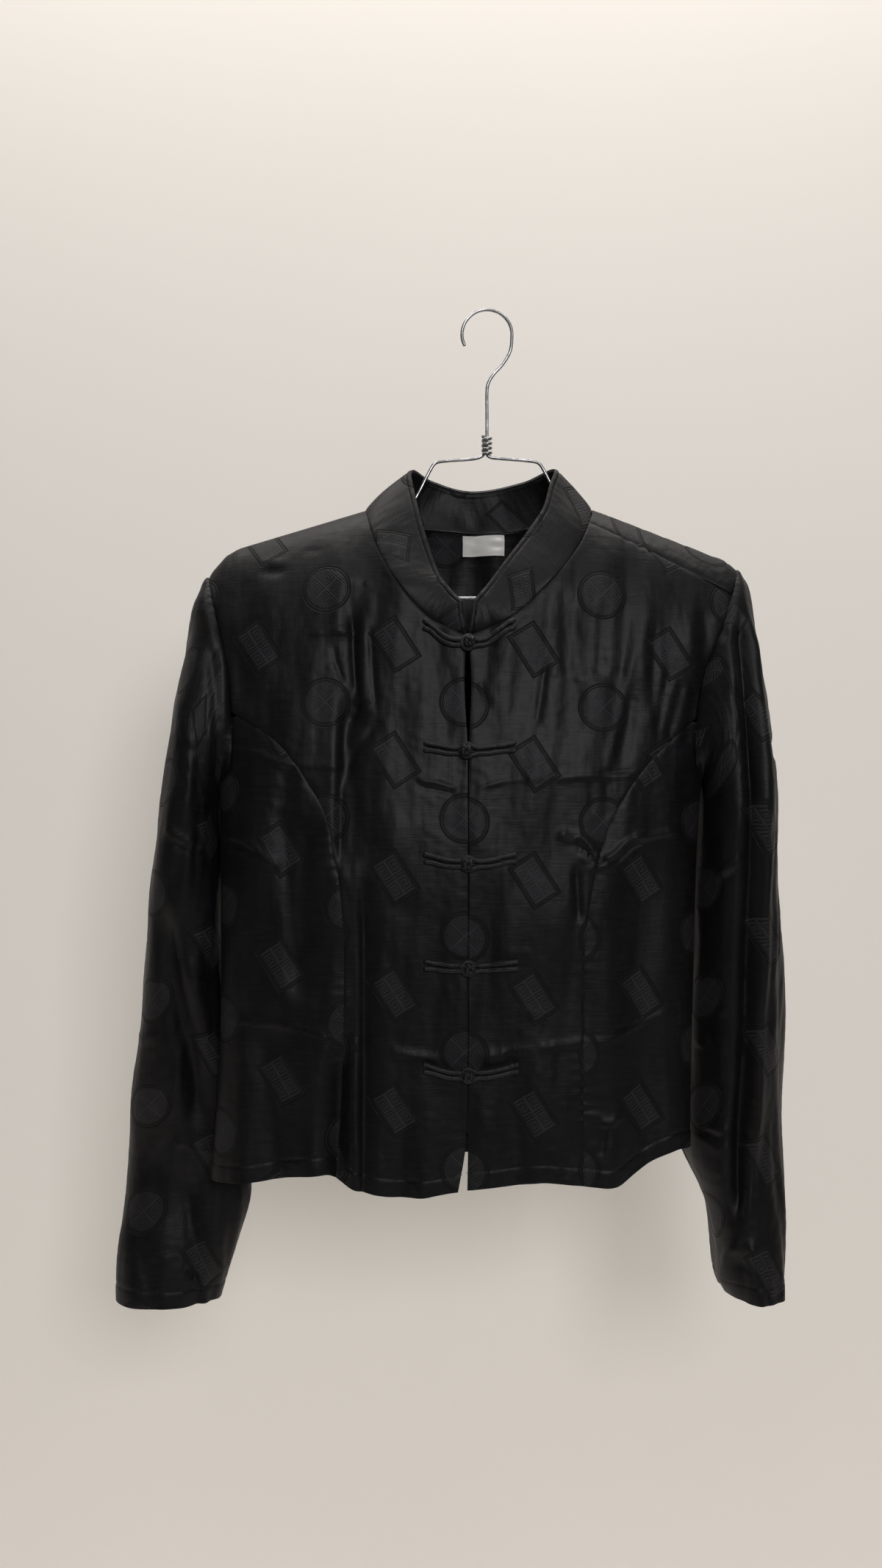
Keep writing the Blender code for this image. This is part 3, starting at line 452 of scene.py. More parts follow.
    def flat(self, face: float, share: Array, z: Array) -> Array:
        """Place on the flat cloth, in metres, for the woven pattern.

        Args:
            face, share, z: the place on the body.

        Returns:
            Distance across from the middle and height, both along the cloth.
        """
        left, right = np.moveaxis(self.sections.at(z), -1, 0)[:2]
        steps, start = 20, -0.45
        across, up = np.zeros(share.shape), np.zeros(share.shape)
        last = last_up = None
        for k in range(steps + 1):
            part = k / steps
            point = self.bare(face, share * part, z)[0]
            height = start + (z - start) * part
            climb = self.bare(face, share, height)[0]
            if last is not None:
                across += np.linalg.norm(point - last, axis=-1)
                up += np.linalg.norm(climb - last_up, axis=-1)
            last, last_up = point, climb
        return np.stack([(left + right) / 2 + np.sign(share) * across,
                         start + np.sign(z - start) * up], axis=-1)


@dataclass(frozen=True)
class Cut:
    """Seams and edges of the body as (x, z) lines on its form.

    lap is how far the wearer's left shoulder seam lies in front of the ridge,
    at the neck and at the armhole.
    """

    form: BodyForm = BodyForm()
    arm_top_right: float = -0.2190
    neck_point_right: float = -0.0960
    neck_point_left: float = 0.0815
    arm_top_left: float = 0.1960
    lap: Pair = (0.0145, 0.0270)
    lap_ends: Pair = (0.0785, 0.1887)
    hem_z: float = -0.676           # rough height, to start from
    front_edge_right: Points = line(
        -23.5, -679, -17.8, -645, -16.3, -585, -16.3, -430, -16.5, -345, -18.5, -300, -17.2, -260.9)
    front_edge_left: Points = line(
        -16.5, -677.5, -16, -645, -15.5, -585, -15.5, -430, -15.2, -345, -13.5, -300, -15, -260.9)
    princess_right: Points = line(
        -116, -671, -112, -612, -109, -525, -111, -460, -122, -400, -139, -368, -160, -342, -190, -318)
    princess_left: Points = line(
        71.5, -676, 71, -520, 74, -475, 83, -427, 95, -395, 115, -365, 140, -339, 156, -322)
    armhole_right_front: Points = line(-208.5, -373.5, -199, -364, -196, -339, -199, -290, -206.2, -256)
    armhole_left_front: Points = line(167, -370, 160.5, -356, 160, -326, 166, -288, 179, -256)
    armhole_right_back: Points = line(-208.5, -373.5, -199, -363, -193, -330, -195, -285, -205.5, -245)
    armhole_left_back: Points = line(167, -370, 159, -360, 156, -330, 161, -285, 176, -245)
    neck_right: Points = line(
        -90.7, -173.8, -82.7, -195.1, -71.8, -215.3, -58.1, -233.5, -43, -248, -17.2, -260.9)
    neck_left: Points = line(
        78.5, -170, 71.1, -186.3, 57.9, -205.7, 37.2, -227.9, 18, -245, -15, -260.9)
    neck_back: Points = line(-72, -166, -40, -169.5, -7.2, -170.7, 25, -169.2, 57, -165)
    hem_front: Table = Table((
        (-0.2150, -0.6806), (-0.1692, -0.6745), (-0.1249, -0.6674), (-0.1120, -0.6735),
        (-0.0917, -0.6806), (-0.0584, -0.6834), (-0.0235, -0.6790), (0.0190, -0.6751),
        (0.0413, -0.6729), (0.0635, -0.6756), (0.0950, -0.6782), (0.1120, -0.6700),
        (0.1300, -0.6600), (0.1450, -0.6550), (0.1585, -0.6565),
    ))
    hem_back: Table = Table((
        (-0.2150, -0.6806), (-0.1500, -0.6790), (-0.0900, -0.6765), (-0.0300, -0.6756),
        (0.0400, -0.6740), (0.1000, -0.6690), (0.1585, -0.6565),
    ))

    def armhole(self, right: bool, face: float) -> Points:
        """An armhole from the underarm up to the ridge."""
        if right:
            line = self.armhole_right_front if face < 0 else self.armhole_right_back
            return (*line, self.form.ridge_point(self.arm_top_right))
        line = self.armhole_left_front if face < 0 else self.armhole_left_back
        return (*line, self.form.ridge_point(self.arm_top_left))

    def necks(self) -> tuple[Points, Points, Points]:
        """Necklines from the ridge: right front, left front, and the back."""
        right = self.form.ridge_point(self.neck_point_right)
        left = self.form.ridge_point(self.neck_point_left)
        return (right, *self.neck_right), (left, *self.neck_left), (right, *self.neck_back, left)

    def lap_at(self, x: Array) -> Array:
        """Distance of the left shoulder seam in front of the ridge."""
        return np.interp(x, self.lap_ends, self.lap)

    def edge(self, points: Points) -> Edge:
        """Line of (x, z) points as an edge in shares."""
        def run(t: Array) -> Array:
            x, z = path_at(points, t).T
            return np.stack([self.form.share(x, z), z], axis=-1)
        return run

    def shoulder(self, start_x: float, end_x: float, lap_side: float = 0.0) -> Edge:
        """Shoulder seam between two x values; lap_side moves it down (-1) or over (1) the ridge."""
        def run(t: Array) -> Array:
            x = start_x + (end_x - start_x) * np.asarray(t, float)
            z = self.form.ridge(x) + lap_side * self.lap_at(x)
            return np.stack([self.form.share(x, z), z], axis=-1)
        return run

    def hem(self, start: float, end: float, table: Table, face: float) -> Edge:
        """Stretch of a hem between two shares of the body."""
        def run(t: Array) -> Array:
            share = start + (end - start) * np.asarray(t, float)
            z = np.full(share.shape, self.hem_z)
            for _ in range(4):
                z = table.at(self.form.bare(face, share, z)[0][..., 0])[..., 0]
            return np.stack([share, z], axis=-1)
        return run

    def side(self, share: float, table: Table, face: float, top_z: float) -> Edge:
        """Side seam from the hem up to top_z."""
        hem_x = self.form.bare(face, np.array(share), np.array(self.hem_z))[0][0]
        hem_z = float(table.at(hem_x)[0])

        def run(t: Array) -> Array:
            t = np.asarray(t, float)
            return np.stack([np.full(t.shape, share), hem_z + (top_z - hem_z) * t], axis=-1)
        return run


def joined(first: Edge, second: Edge, meeting: float) -> Edge:
    """Two edges run one after the other, joining at meeting."""
    def run(t: Array) -> Array:
        t = np.asarray(t, float)
        early = (t <= meeting)[..., None]
        late = np.clip((t - meeting) / (1.0 - meeting), 0.0, 1.0)
        return np.where(early, first(np.clip(t / meeting, 0.0, 1.0)), second(late))
    return run


def stretch(edge: Edge, start: float, end: float) -> Edge:
    """The part of an edge from start to end."""
    return lambda t: edge(start + (end - start) * np.asarray(t, float))


def meeting_share(points: Points, z: float) -> float:
    """Share along a rising line at which it passes height z."""
    shares = np.linspace(0.0, 1.0, 2001)
    return float(shares[np.argmax(path_at(points, shares)[:, 1] >= z)])


def stops(corners: Sequence[float], counts: Sequence[int], closeness: float = 0.62) -> Array:
    """Grid lines from 0 to 1, closer together beside each corner.

    Args:
        corners: places that must have a line, first 0 and last 1.
        counts: spaces between each pair of corners.
        closeness: 0 is even, near 1 is very close at the corners.

    Returns:
        The places of the lines.
    """
    lines = [np.array([0.0])]
    for start, end, count in zip(corners, corners[1:], counts):
        t = np.linspace(0.0, 1.0, count + 1)[1:]
        lines.append(start + (end - start) * (t - closeness * np.sin(2 * math.pi * t) / (2 * math.pi)))
    return np.concatenate(lines)


def cornered(corner: float, count: int) -> Array:
    """Grid lines with one corner between, count spaces in all."""
    before = int(count * corner)
    return stops((0.0, corner, 1.0), (before, count - before))


def coons(bottom: Edge, top: Edge, left: Edge, right: Edge, across: Array, up: Array) -> Array:
    """Grid stretched between four edges.

    Args:
        bottom, top: edges run along across.
        left, right: edges run along up.
        across, up: grid lines from 0 to 1.

    Returns:
        (share, z) of each grid point, rows first.
    """
    u, v = across[None, :, None], up[:, None, None]
    low, high = bottom(across)[None], top(across)[None]
    near, far = left(up)[:, None], right(up)[:, None]
    corners = (
        (1 - u) * (1 - v) * low[:, :1] + u * (1 - v) * low[:, -1:]
        + (1 - u) * v * high[:, :1] + u * v * high[:, -1:]
    )
    return (1 - v) * low + v * high + (1 - u) * near + u * far - corners


class Rim(Enum):
    """What ends a piece of cloth at an edge."""

    SEWN = "rolls into a seam"
    HEM = "turned up and stitched"
    FACED = "turned to a facing"
    RAW = "plain"


@dataclass(frozen=True)
class Make:
    """Sizes of the sewing, in metres."""

    cloth: float = 0.0010          # silk with what is pressed behind it
    seam_gap: float = 0.0003
    roll: float = 0.0006           # how far a sewn edge rolls in
    roll_width: float = 0.0013
    hem_depth: float = 0.0130
    hem_rise: float = 0.00035      # the turn-up shows as a low step
    hem_bulk: float = 0.0009       # inside it
    facing: float = 0.0260
    facing_bulk: float = 0.0007
    stitch_sink: float = 0.0004
    stitch_width: float = 0.0011


MAKE = Make()


def grid_normals(points: Array, outward: Array, closed: bool = False) -> Array:
    """Unit normals of a grid, on the side that outward points to."""
    if closed:
        across = np.roll(points, -1, axis=1) - np.roll(points, 1, axis=1)
    else:
        across = np.gradient(points, axis=1)
    normals = unit(np.cross(across, np.gradient(points, axis=0)))
    return normals * np.sign(np.sum(normals * outward))


def rim_distances(points: Array) -> tuple[Array, Array, Array, Array]:
    """Distances along the cloth from its bottom, top, left and right edges."""
    left, bottom = lengths_along(points, 1), lengths_along(points)
    return bottom, bottom[-1:] - bottom, left, left[:, -1:] - left


def rim_relief(distances: Sequence[Array], rims: Sequence[Rim]) -> tuple[Array, Array]:
    """How a piece's edges shape it.

    Args:
        distances: from each edge.
        rims: what each edge is.

    Returns:
        Distance out of the cloth and extra thickness inside, at each point.
    """
    out, bulk = np.zeros(distances[0].shape), np.zeros(distances[0].shape)
    for distance, rim in zip(distances, rims):
        if rim is Rim.SEWN:
            out -= MAKE.roll * np.exp(-distance / MAKE.roll_width)
            out += 0.10 * MAKE.roll * bell(distance - 0.0060, 0.0030)
        elif rim is Rim.HEM:
            turned = smooth((MAKE.hem_depth - distance) / 0.0015 + 0.5)
            out += MAKE.hem_rise * turned
            out -= MAKE.stitch_sink * bell(distance - MAKE.hem_depth, MAKE.stitch_width)
            bulk += MAKE.hem_bulk * turned
        elif rim is Rim.FACED:
            bulk += MAKE.facing_bulk * smooth((MAKE.facing - distance) / 0.0020)
            out -= 0.0004 * np.exp(-distance / 0.0012)
    return out, bulk


def pulled_in(points: Array, gap: float, rims: Sequence[Rim]) -> Array:
    """A grid with its outline moved in by half a seam gap."""
    moved = points.copy()
    for (edge, inner), rim in zip(((0, 1), (-1, -2)), rims[:2]):
        if rim is not Rim.HEM:
            moved[edge] += unit(points[inner] - points[edge]) * gap / 2
    for edge, inner in ((0, 1), (-1, -2)):
        moved[:, edge] += unit(points[:, inner] - points[:, edge]) * gap / 2
    return moved


def wall(name: str, outer: Array, inner: Array, flat: Array, closed: bool = False) -> Object:
    """Closed wall of cloth between two skins.

    Args:
        name: of the object.
        outer, inner: grids of points.
        flat: the pattern's place at each grid point, one column more when closed.
        closed: the columns join into a ring.

    Returns:
        The object, with a UV map named Cloth in metres.
    """
    rows, columns = outer.shape[:2]
    j, i = np.meshgrid(np.arange(rows - 1), np.arange(columns if closed else columns - 1), indexing="ij")
    wide = flat.shape[1]

    def quads(*corners: tuple[Array, Array, int]) -> tuple[Array, Array]:
        points = [skin * rows * columns + r * columns + c % columns for r, c, skin in corners]
        places = [r * wide + c for r, c, _ in corners]
        return (np.stack([p.ravel() for p in np.broadcast_arrays(*points)], -1),
                np.stack([p.ravel() for p in np.broadcast_arrays(*places)], -1))

    sets = [quads((j, i, 0), (j, i + 1, 0), (j + 1, i + 1, 0), (j + 1, i, 0)),
            quads((j, i, 1), (j + 1, i, 1), (j + 1, i + 1, 1), (j, i + 1, 1))]
    first, last, run = np.array(0), np.array(rows - 1), i[0]
    sets.append(quads((first, run, 0), (first, run, 1), (first, run + 1, 1), (first, run + 1, 0)))
    sets.append(quads((last, run, 0), (last, run + 1, 0), (last, run + 1, 1), (last, run, 1)))
    if not closed:
        end, rise = np.array(columns - 1), j[:, 0]
        sets.append(quads((rise, first, 0), (rise + 1, first, 0), (rise + 1, first, 1), (rise, first, 1)))
        sets.append(quads((rise, end, 0), (rise, end, 1), (rise + 1, end, 1), (rise + 1, end, 0)))
    faces = np.concatenate([s[0] for s in sets])
    places = np.concatenate([s[1] for s in sets])
    vertices = np.concatenate([outer.reshape(-1, 3), inner.reshape(-1, 3)])
    skin = faces[: j.size]
    edges = vertices[skin[:, 1]] - vertices[skin[:, 0]], vertices[skin[:, 2]] - vertices[skin[:, 0]]
    if np.sum(np.cross(*edges) * (vertices[skin[:, 0]] - vertices[skin[:, 0] + rows * columns])) < 0:
        faces, places = faces[:, ::-1], places[:, ::-1]
    return mesh_object(name, vertices, faces, flat.reshape(-1, 2)[places.ravel()])


def placed(name: str, data: bpy.types.ID) -> Object:
    """New object in the scene."""
    thing = bpy.data.objects.new(name, data)
    bpy.context.collection.objects.link(thing)
    return thing


def mesh_object(name: str, vertices: Array, faces: Array | list[tuple[int, ...]],
                uv: Array) -> Object:
    """Smooth-shaded object from arrays, with a UV map named Cloth."""
    data = bpy.data.meshes.new(name)
    data.from_pydata(vertices.tolist(), [], [tuple(face) for face in faces])
    layer = data.uv_layers.new(name="Cloth")
    layer.data.foreach_set("uv", np.asarray(uv, np.float32).ravel())
    data.shade_smooth()
    data.set_sharp_from_angle(angle=math.radians(58))
    data.update()
    return placed(name, data)


@dataclass
class Sheet:
    """One cut piece of cloth, ready to be made a wall.

    Fields: its name, middle points, outward guide, place on the flat cloth
    and edges (bottom, top, left, right), and how much it stands out and
    thickens inside besides what its edges do.
    """

    name: str
    points: Array
    outward: Array
    flat: Array
    rims: tuple[Rim, Rim, Rim, Rim]
    out: Array | float = 0.0
    closed: bool = False
    thickness: float = MAKE.cloth
    drawn_in: float = 1.0           # how much the figures are narrowed across the cloth

    def build(self) -> Object:
        """The piece as a closed wall."""
        out, bulk = rim_relief(rim_distances(self.points), self.rims)
        middle = self.points + grid_normals(self.points, self.outward, self.closed) * (
            out + self.out)[..., None]
        normals = grid_normals(middle, self.outward, self.closed)
        outer = middle + normals * self.thickness / 2
        inner = middle - normals * (self.thickness / 2 + bulk)[..., None]
        return wall(f"{self.name}_cloth", outer, inner, self.flat, self.closed)

    def row(self, rim: int, away: float, lift: float) -> Array:
        """Places on the outer skin at a set distance from an edge.

        Args:
            rim: 0 bottom, 1 top, 2 left, 3 right.
            away: distance from it.
            lift: how far above the skin.

        Returns:
            (n, 3) points.
        """
        distances = rim_distances(self.points)
        out, _ = rim_relief(distances, self.rims)
        normals = grid_normals(self.points, self.outward, self.closed)
        skin = self.points + normals * (out + self.out + self.thickness / 2 + lift)[..., None]
        distance = distances[rim]
        if rim > 1:
            distance, skin = distance.T, np.swapaxes(skin, 0, 1)
        if rim % 2:
            distance, skin = distance[::-1], skin[::-1]
        line = [[np.interp(away, distance[:, k], skin[:, k, axis]) for axis in range(3)]
                for k in range(distance.shape[1])]
        return np.array(line + line[:1] if self.closed else line)


def puckers(along: Array, distance: Array, length: float, rise: float, reach: float, seed: int) -> Array:
    """Short ripples that a tight seam draws into the cloth beside it."""
    wander = waves(along, along * 0.0, 0.05, 1.0, seed)
    swell = smooth(0.5 + 0.9 * waves(along, along * 0.0, 0.09, 1.0, seed + 1))
    return rise * swell * np.sin(2 * math.pi * along / length + 2.2 * wander) * np.exp(-distance / reach)


@dataclass(frozen=True)
class BodyPanels:
    """Centre fronts, side fronts and back, cut on the body's form."""

    cut: Cut
    grid: tuple[int, int, int] = (112, 250, 62)   # columns and rows of a centre front, columns of a side
    side_rows: tuple[int, int] = (180, 44)        # below and above the underarm
    back_rows: tuple[int, int] = (150, 100)
    back_columns: tuple[int, int, int] = (48, 64, 48)
    tip: float = 0.985                            # a side front's point is cut off square
    neck_corner: float = 0.42                     # shares of the grid lines at which corners lie
    arm_corner: float = 0.76
    side_corner: float = 0.77
    back_neck_corners: Pair = (0.33, 0.66)
    back_arm_corner: float = 0.62

    def panel(self, name: str, face: float, edges: tuple[Edge, Edge, Edge, Edge], across: Array,
              up: Array, rims: tuple[Rim, Rim, Rim, Rim], pattern: Pair) -> Sheet:
        """One panel between its edges.

        Args:
            name: of the piece.
            face: FRONT or BACK.
            edges: bottom, top, left and right.
            across, up: grid lines.
            rims: what each edge is.
            pattern: where a framed figure of the weave lies on the flat cloth.

        Returns:
            The sheet.
        """
        grid = coons(*edges, across, up)
        share, z = grid[..., 0], grid[..., 1]
        form = self.cut.form
        points = form.place(face, share, z)
        flat = form.flat(face, share, z) * np.array([-face, 1.0]) - np.array(pattern)
        points = pulled_in(points, MAKE.seam_gap, rims)
        return Sheet(name, points, np.array([0.0, face, 0.0]), flat, rims)

    def fronts(self, right: bool) -> list[Sheet]:
        """Centre front and side front of one side."""
        cut = self.cut
        form = cut.form
        if right:
            side, name = -1.0, "right"
            front_edge, princess, neck = cut.front_edge_right, cut.princess_right, cut.necks()[0]
            shoulder_start, shoulder_end, lap_side = cut.arm_top_right, cut.neck_point_right, 0.0
            centre_pattern, side_pattern = (-0.0711, -0.4425), (-0.1580, -0.4220)
        else:
            side, name = 1.0, "left"
            front_edge, princess, neck = cut.front_edge_left, cut.princess_left, cut.neck_left
            shoulder_start, shoulder_end, lap_side = cut.lap_ends[1], cut.lap_ends[0], -1.0
            centre_pattern, side_pattern = (0.0336, -0.4450), (0.1180, -0.4450)
        armhole = cut.armhole(right, FRONT)
        meeting = meeting_share(armhole, princess[-1][1])
        top_of_arm = 1.0
        if lap_side:
            lap_z = float(form.ridge(np.array(shoulder_start)) - cut.lap[1])
            top_of_arm = meeting_share(armhole, lap_z)
        armhole_edge = cut.edge(armhole)
        tip = tuple(path_at(armhole, meeting))
        princess_edge = cut.edge((*princess[:-1], tip))
        hem_share, edge_share = (float(form.share(*np.array(low[0]))) for low in (princess, front_edge))

        outer = joined(princess_edge, stretch(armhole_edge, meeting, top_of_arm), self.arm_corner)
        shoulder = cut.shoulder(shoulder_start, shoulder_end, lap_side)
        top = joined(shoulder, cut.edge(neck), self.neck_corner)
        hem = cut.hem(hem_share, edge_share, cut.hem_front, FRONT)
        columns, rows, side_columns = self.grid
        centre = self.panel(
            f"centre_front_{name}", FRONT, (hem, top, outer, cut.edge(front_edge)),
            cornered(self.neck_corner, columns), cornered(self.arm_corner, rows),
            (Rim.HEM, Rim.SEWN, Rim.SEWN, Rim.FACED), centre_pattern)
        centre.out = self.centre_puckers(centre, right)

        seam = cut.side(side, cut.hem_front, FRONT, armhole[0][1])
        side_edge = stretch(joined(seam, stretch(armhole_edge, 0.0, meeting), self.side_corner), 0.0, self.tip)
        inner = stretch(princess_edge, 0.0, self.tip)
        ends = side_edge(np.array([1.0]))[0], inner(np.array([1.0]))[0]

        def point_top(t: Array) -> Array:
            return ends[0] + (ends[1] - ends[0]) * np.asarray(t, float)[..., None]

        corner = self.side_corner / self.tip
        side_hem = cut.hem(side, hem_share, cut.hem_front, FRONT)
        side_sheet = self.panel(
            f"side_front_{name}", FRONT, (side_hem, point_top, side_edge, inner),
            stops((0.0, 1.0), (side_columns,)), stops((0.0, corner, 1.0), self.side_rows),
            (Rim.HEM, Rim.RAW, Rim.SEWN, Rim.SEWN), side_pattern)
        distance = rim_distances(side_sheet.points)[3]
        side_sheet.out = self.princess_puckers(side_sheet.points[..., 2], distance, right)
        return [centre, side_sheet]

    def princess_puckers(self, z: Array, distance: Array, right: bool) -> Array:
        """Ripples beside a princess seam."""
        zone = smooth((-0.405 - z) / 0.03) * smooth((z + 0.655) / 0.04)
        return zone * puckers(z, distance, 0.0092, 0.00050, 0.0075, 21 if right else 27)

    def centre_puckers(self, sheet: Sheet, right: bool) -> Array:
        """Ripples beside a centre front's seams."""
        _, top, outer, front = rim_distances(sheet.points)
        x, z = sheet.points[..., 0], sheet.points[..., 2]
        ripples = self.princess_puckers(z, outer, right)
        ripples = ripples + 0.5 * puckers(z, front, 0.0110, 0.00030, 0.0110, 31 if right else 33)
        if not right:
            zone = smooth((x - 0.078) / 0.010) * smooth((0.140 - x) / 0.020)
            ripples = ripples + zone * puckers(x, top, 0.0085, 0.00110, 0.0160, 35)
        return ripples

    def back(self) -> Sheet:
        """Back, in one piece, its left shoulder lapping to the front."""
        cut = self.cut
        form = cut.form
        lap_x, lap_neck_x = cut.lap_ends[1], cut.lap_ends[0]
        right_arm = cut.armhole(True, BACK)
        left_arm = (*cut.armhole(False, BACK), form.ridge_point(lap_x, cut.lap[1]))
        neck = (*cut.necks()[2], form.ridge_point(lap_neck_x, cut.lap[0]))
        sides = []
        for side, arm in ((-1.0, right_arm), (1.0, left_arm)):
            seam = cut.side(side, cut.hem_back, BACK, arm[0][1])
            sides.append(joined(seam, cut.edge(arm), self.back_arm_corner))
        right_corner, left_corner = self.back_neck_corners
        top = joined(cut.shoulder(cut.arm_top_right, cut.neck_point_right), cut.edge(neck),
                     right_corner / left_corner)
        top = joined(top, cut.shoulder(lap_neck_x, lap_x, 1.0), left_corner)
        hem = cut.hem(-1.0, 1.0, cut.hem_back, BACK)
        sheet = self.panel(
            "back", BACK, (hem, top, *sides),
            stops((0.0, right_corner, left_corner, 1.0), self.back_columns, 0.5),
            stops((0.0, self.back_arm_corner, 1.0), self.back_rows),
            (Rim.HEM, Rim.SEWN, Rim.SEWN, Rim.SEWN), (-0.0199, -0.2220))
        top_gap = rim_distances(sheet.points)[1]
        x = sheet.points[..., 0]
        sheet.out = puckers(x, top_gap, 0.010, 0.00030, 0.010, 41)
        return sheet


@dataclass(frozen=True)
class Sleeve:
    """Set-in sleeve: a tube from the armhole to the cuff.

    sections holds plan sections: z, outer edge, inner edge, middle y, half
    depth. folds are read on its front, back_folds behind. lean is how far
    its back half lies in behind the body at each z.
    """

    name: str
    cut: Cut
    right: bool
    sections: Table
    folds: tuple[Crease, ...]
    back_folds: tuple[Crease, ...]
    pattern: Pair
    lean: Table = Table(((-0.200, 0.0), (-0.335, 0.0), (-0.375, 0.0140), (-0.620, 0.0140), (-0.700, 0.0)))
    squareness: float = 0.9         # 1 is an ellipse, less is squarer
    gap: float = 0.0006
    head_drop: float = 0.015
    head_ease: float = 0.45
    head_dip: float = 1.3
    columns: int = 150
    rows: int = 262
    back_meeting: float = 0.45
    head_share: float = 0.36        # share of the rows that make the sleeve head

    def ring(self) -> Array:
        """Armhole as a ring of body points: ridge, front, underarm, back."""
        front, back = self.cut.armhole(self.right, FRONT), self.cut.armhole(self.right, BACK)
        princess = self.cut.princess_right if self.right else self.cut.princess_left
        meeting = meeting_share(front, princess[-1][1])
        turn = np.arange(self.columns) / self.columns
        places = []
        for line, face, start in ((front, FRONT, meeting), (back, BACK, self.back_meeting)):
            near = [start * k / 3 for k in range(3)]
            far = [1.0 - (1.0 - start) * (1.0 - k / 4) ** 1.6 for k in range(5)]
            shares = Table(tuple((k / 7, share) for k, share in enumerate(near + far)))
            t = shares.at(np.abs(1.0 - 2.0 * turn))[..., 0]
            x, z = path_at(line, t).T
            places.append(self.cut.form.place(face, self.cut.form.share(x, z), z))
        return np.where((turn <= 0.5)[:, None], places[0], places[1])

    def section(self, turn: Array, z: Array) -> Array:
        """Points of the hanging tube. turn runs outer, front, inner, back."""
        outer, inner, middle, half = np.moveaxis(self.sections.at(z), -1, 0)
        out, across = np.cos(turn), np.sin(turn)
        x = (outer + inner) / 2 + (outer - inner) / 2 * np.copysign(np.abs(out) ** self.squareness, out)
        x = x + np.sign(inner - outer) * self.lean.at(z)[..., 0] * smooth(-1.8 * across)
        y = middle - half * np.copysign(np.abs(across) ** self.squareness, across)
        return np.stack([x, y, z], axis=-1)

    def sheet(self) -> Sheet:
        """The sleeve's middle surface with its folds."""
        ring = self.ring()
        turn = 2 * math.pi * np.arange(self.columns) / self.columns
        front = self.cut.armhole(self.right, FRONT)
        full_z = front[0][1] - self.head_drop
        cuff_z = float(np.array(self.sections.rows)[-1, 0])
        run = stops((0.0, 1.0), (self.rows,), 0.45)[:, None]
        head = np.clip(run / self.head_share, 0.0, 1.0)
        length = np.clip((run - self.head_share) / (1.0 - self.head_share), 0.0, 1.0)
        z = ring[None, :, 2] + (full_z - ring[None, :, 2]) * head**self.head_dip + (cuff_z - full_z) * length
        place = self.section(np.broadcast_to(turn, z.shape), z)
        blend = (head**self.head_ease)[..., None]
        points = ring[None] * (1 - blend) + place * blend
        under = 0.5 - 0.5 * np.cos(turn)
        away = math.copysign(self.gap, ring[0, 0]) * (1 + 2 * under) / 3
        points[..., 0] += away[None] * np.exp(-run / 0.02)
        flat = self.flat(points)
        points = self.folded(points, head)
        return Sheet(self.name, points, points - points.mean(axis=1, keepdims=True), flat,
                     (Rim.SEWN, Rim.HEM, Rim.RAW, Rim.RAW), closed=True, out=self.fine(points, head))

    def folded(self, points: Array, head: Array) -> Array:
        """The tube with its folds pushed in along its normals."""
        normals = grid_normals(points, points - points.mean(axis=1, keepdims=True), True)
        x, z = points[..., 0], points[..., 2]
        ahead = smooth(0.5 - 1.6 * normals[..., 1])
        out = ahead * creased(self.folds, x, z) + (1.0 - ahead) * creased(self.back_folds, x, z)
        out = out + waves(x + points[..., 1], z, 0.030, 0.150, 11) * 0.0009 * smooth(head * 3)
        return points + normals * (out * smooth(head / 0.08))[..., None]

    def fine(self, points: Array, head: Array) -> Array:
        """Small unevenness of the hanging silk, and ease at the sleeve head."""
        x, z = points[..., 0] + points[..., 1], points[..., 2]
        around = np.arange(points.shape[1])[None] / points.shape[1]
        ease = np.sin(2 * math.pi * around * 46 + 2.0 * waves(around, around, 0.2, 1.0, 13))
        ease = 0.00035 * ease * np.exp(-head / 0.06) * smooth(2.2 * np.abs(0.5 - around))
        return ease + waves(x, z, 0.014, 0.012, 17) * 0.00010 + waves(x, z, 0.02, 0.07, 19) * 0.0003

    def flat(self, points: Array) -> Array:
        """Place on the flat cloth: round the tube from its outer line, and along it."""
        ring = np.concatenate([points, points[:, :1]], axis=1)
        around = lengths_along(ring, 1) * (1.0 if self.right else -1.0)
        along = ring[:1, :, 2] - lengths_along(ring)
        return np.stack([around, along], axis=-1) - np.array(self.pattern)


SLEEVE_RIGHT = Table((
    # z       outer    inner    middle  half_depth
    (-0.200, -0.2225, -0.1400, 0.0000, 0.0330),
    (-0.228, -0.2326, -0.1500, 0.0000, 0.0350),
    (-0.275, -0.2402, -0.1700, 0.0010, 0.0400),
    (-0.330, -0.2490, -0.2060, 0.0020, 0.0460),
    (-0.385, -0.2545, -0.2118, 0.0060, 0.0460),
    (-0.450, -0.2656, -0.2112, 0.0140, 0.0440),
    (-0.523, -0.2742, -0.2098, 0.0230, 0.0380),
    (-0.596, -0.2817, -0.2040, 0.0320, 0.0330),
    (-0.671, -0.2905, -0.1975, 0.0420, 0.0280),
    (-0.707, -0.2940, -0.1925, 0.0400, 0.0270),
    (-0.741, -0.2977, -0.2018, 0.0340, 0.0260),
    (-0.789, -0.2976, -0.2156, 0.0290, 0.0250),
))
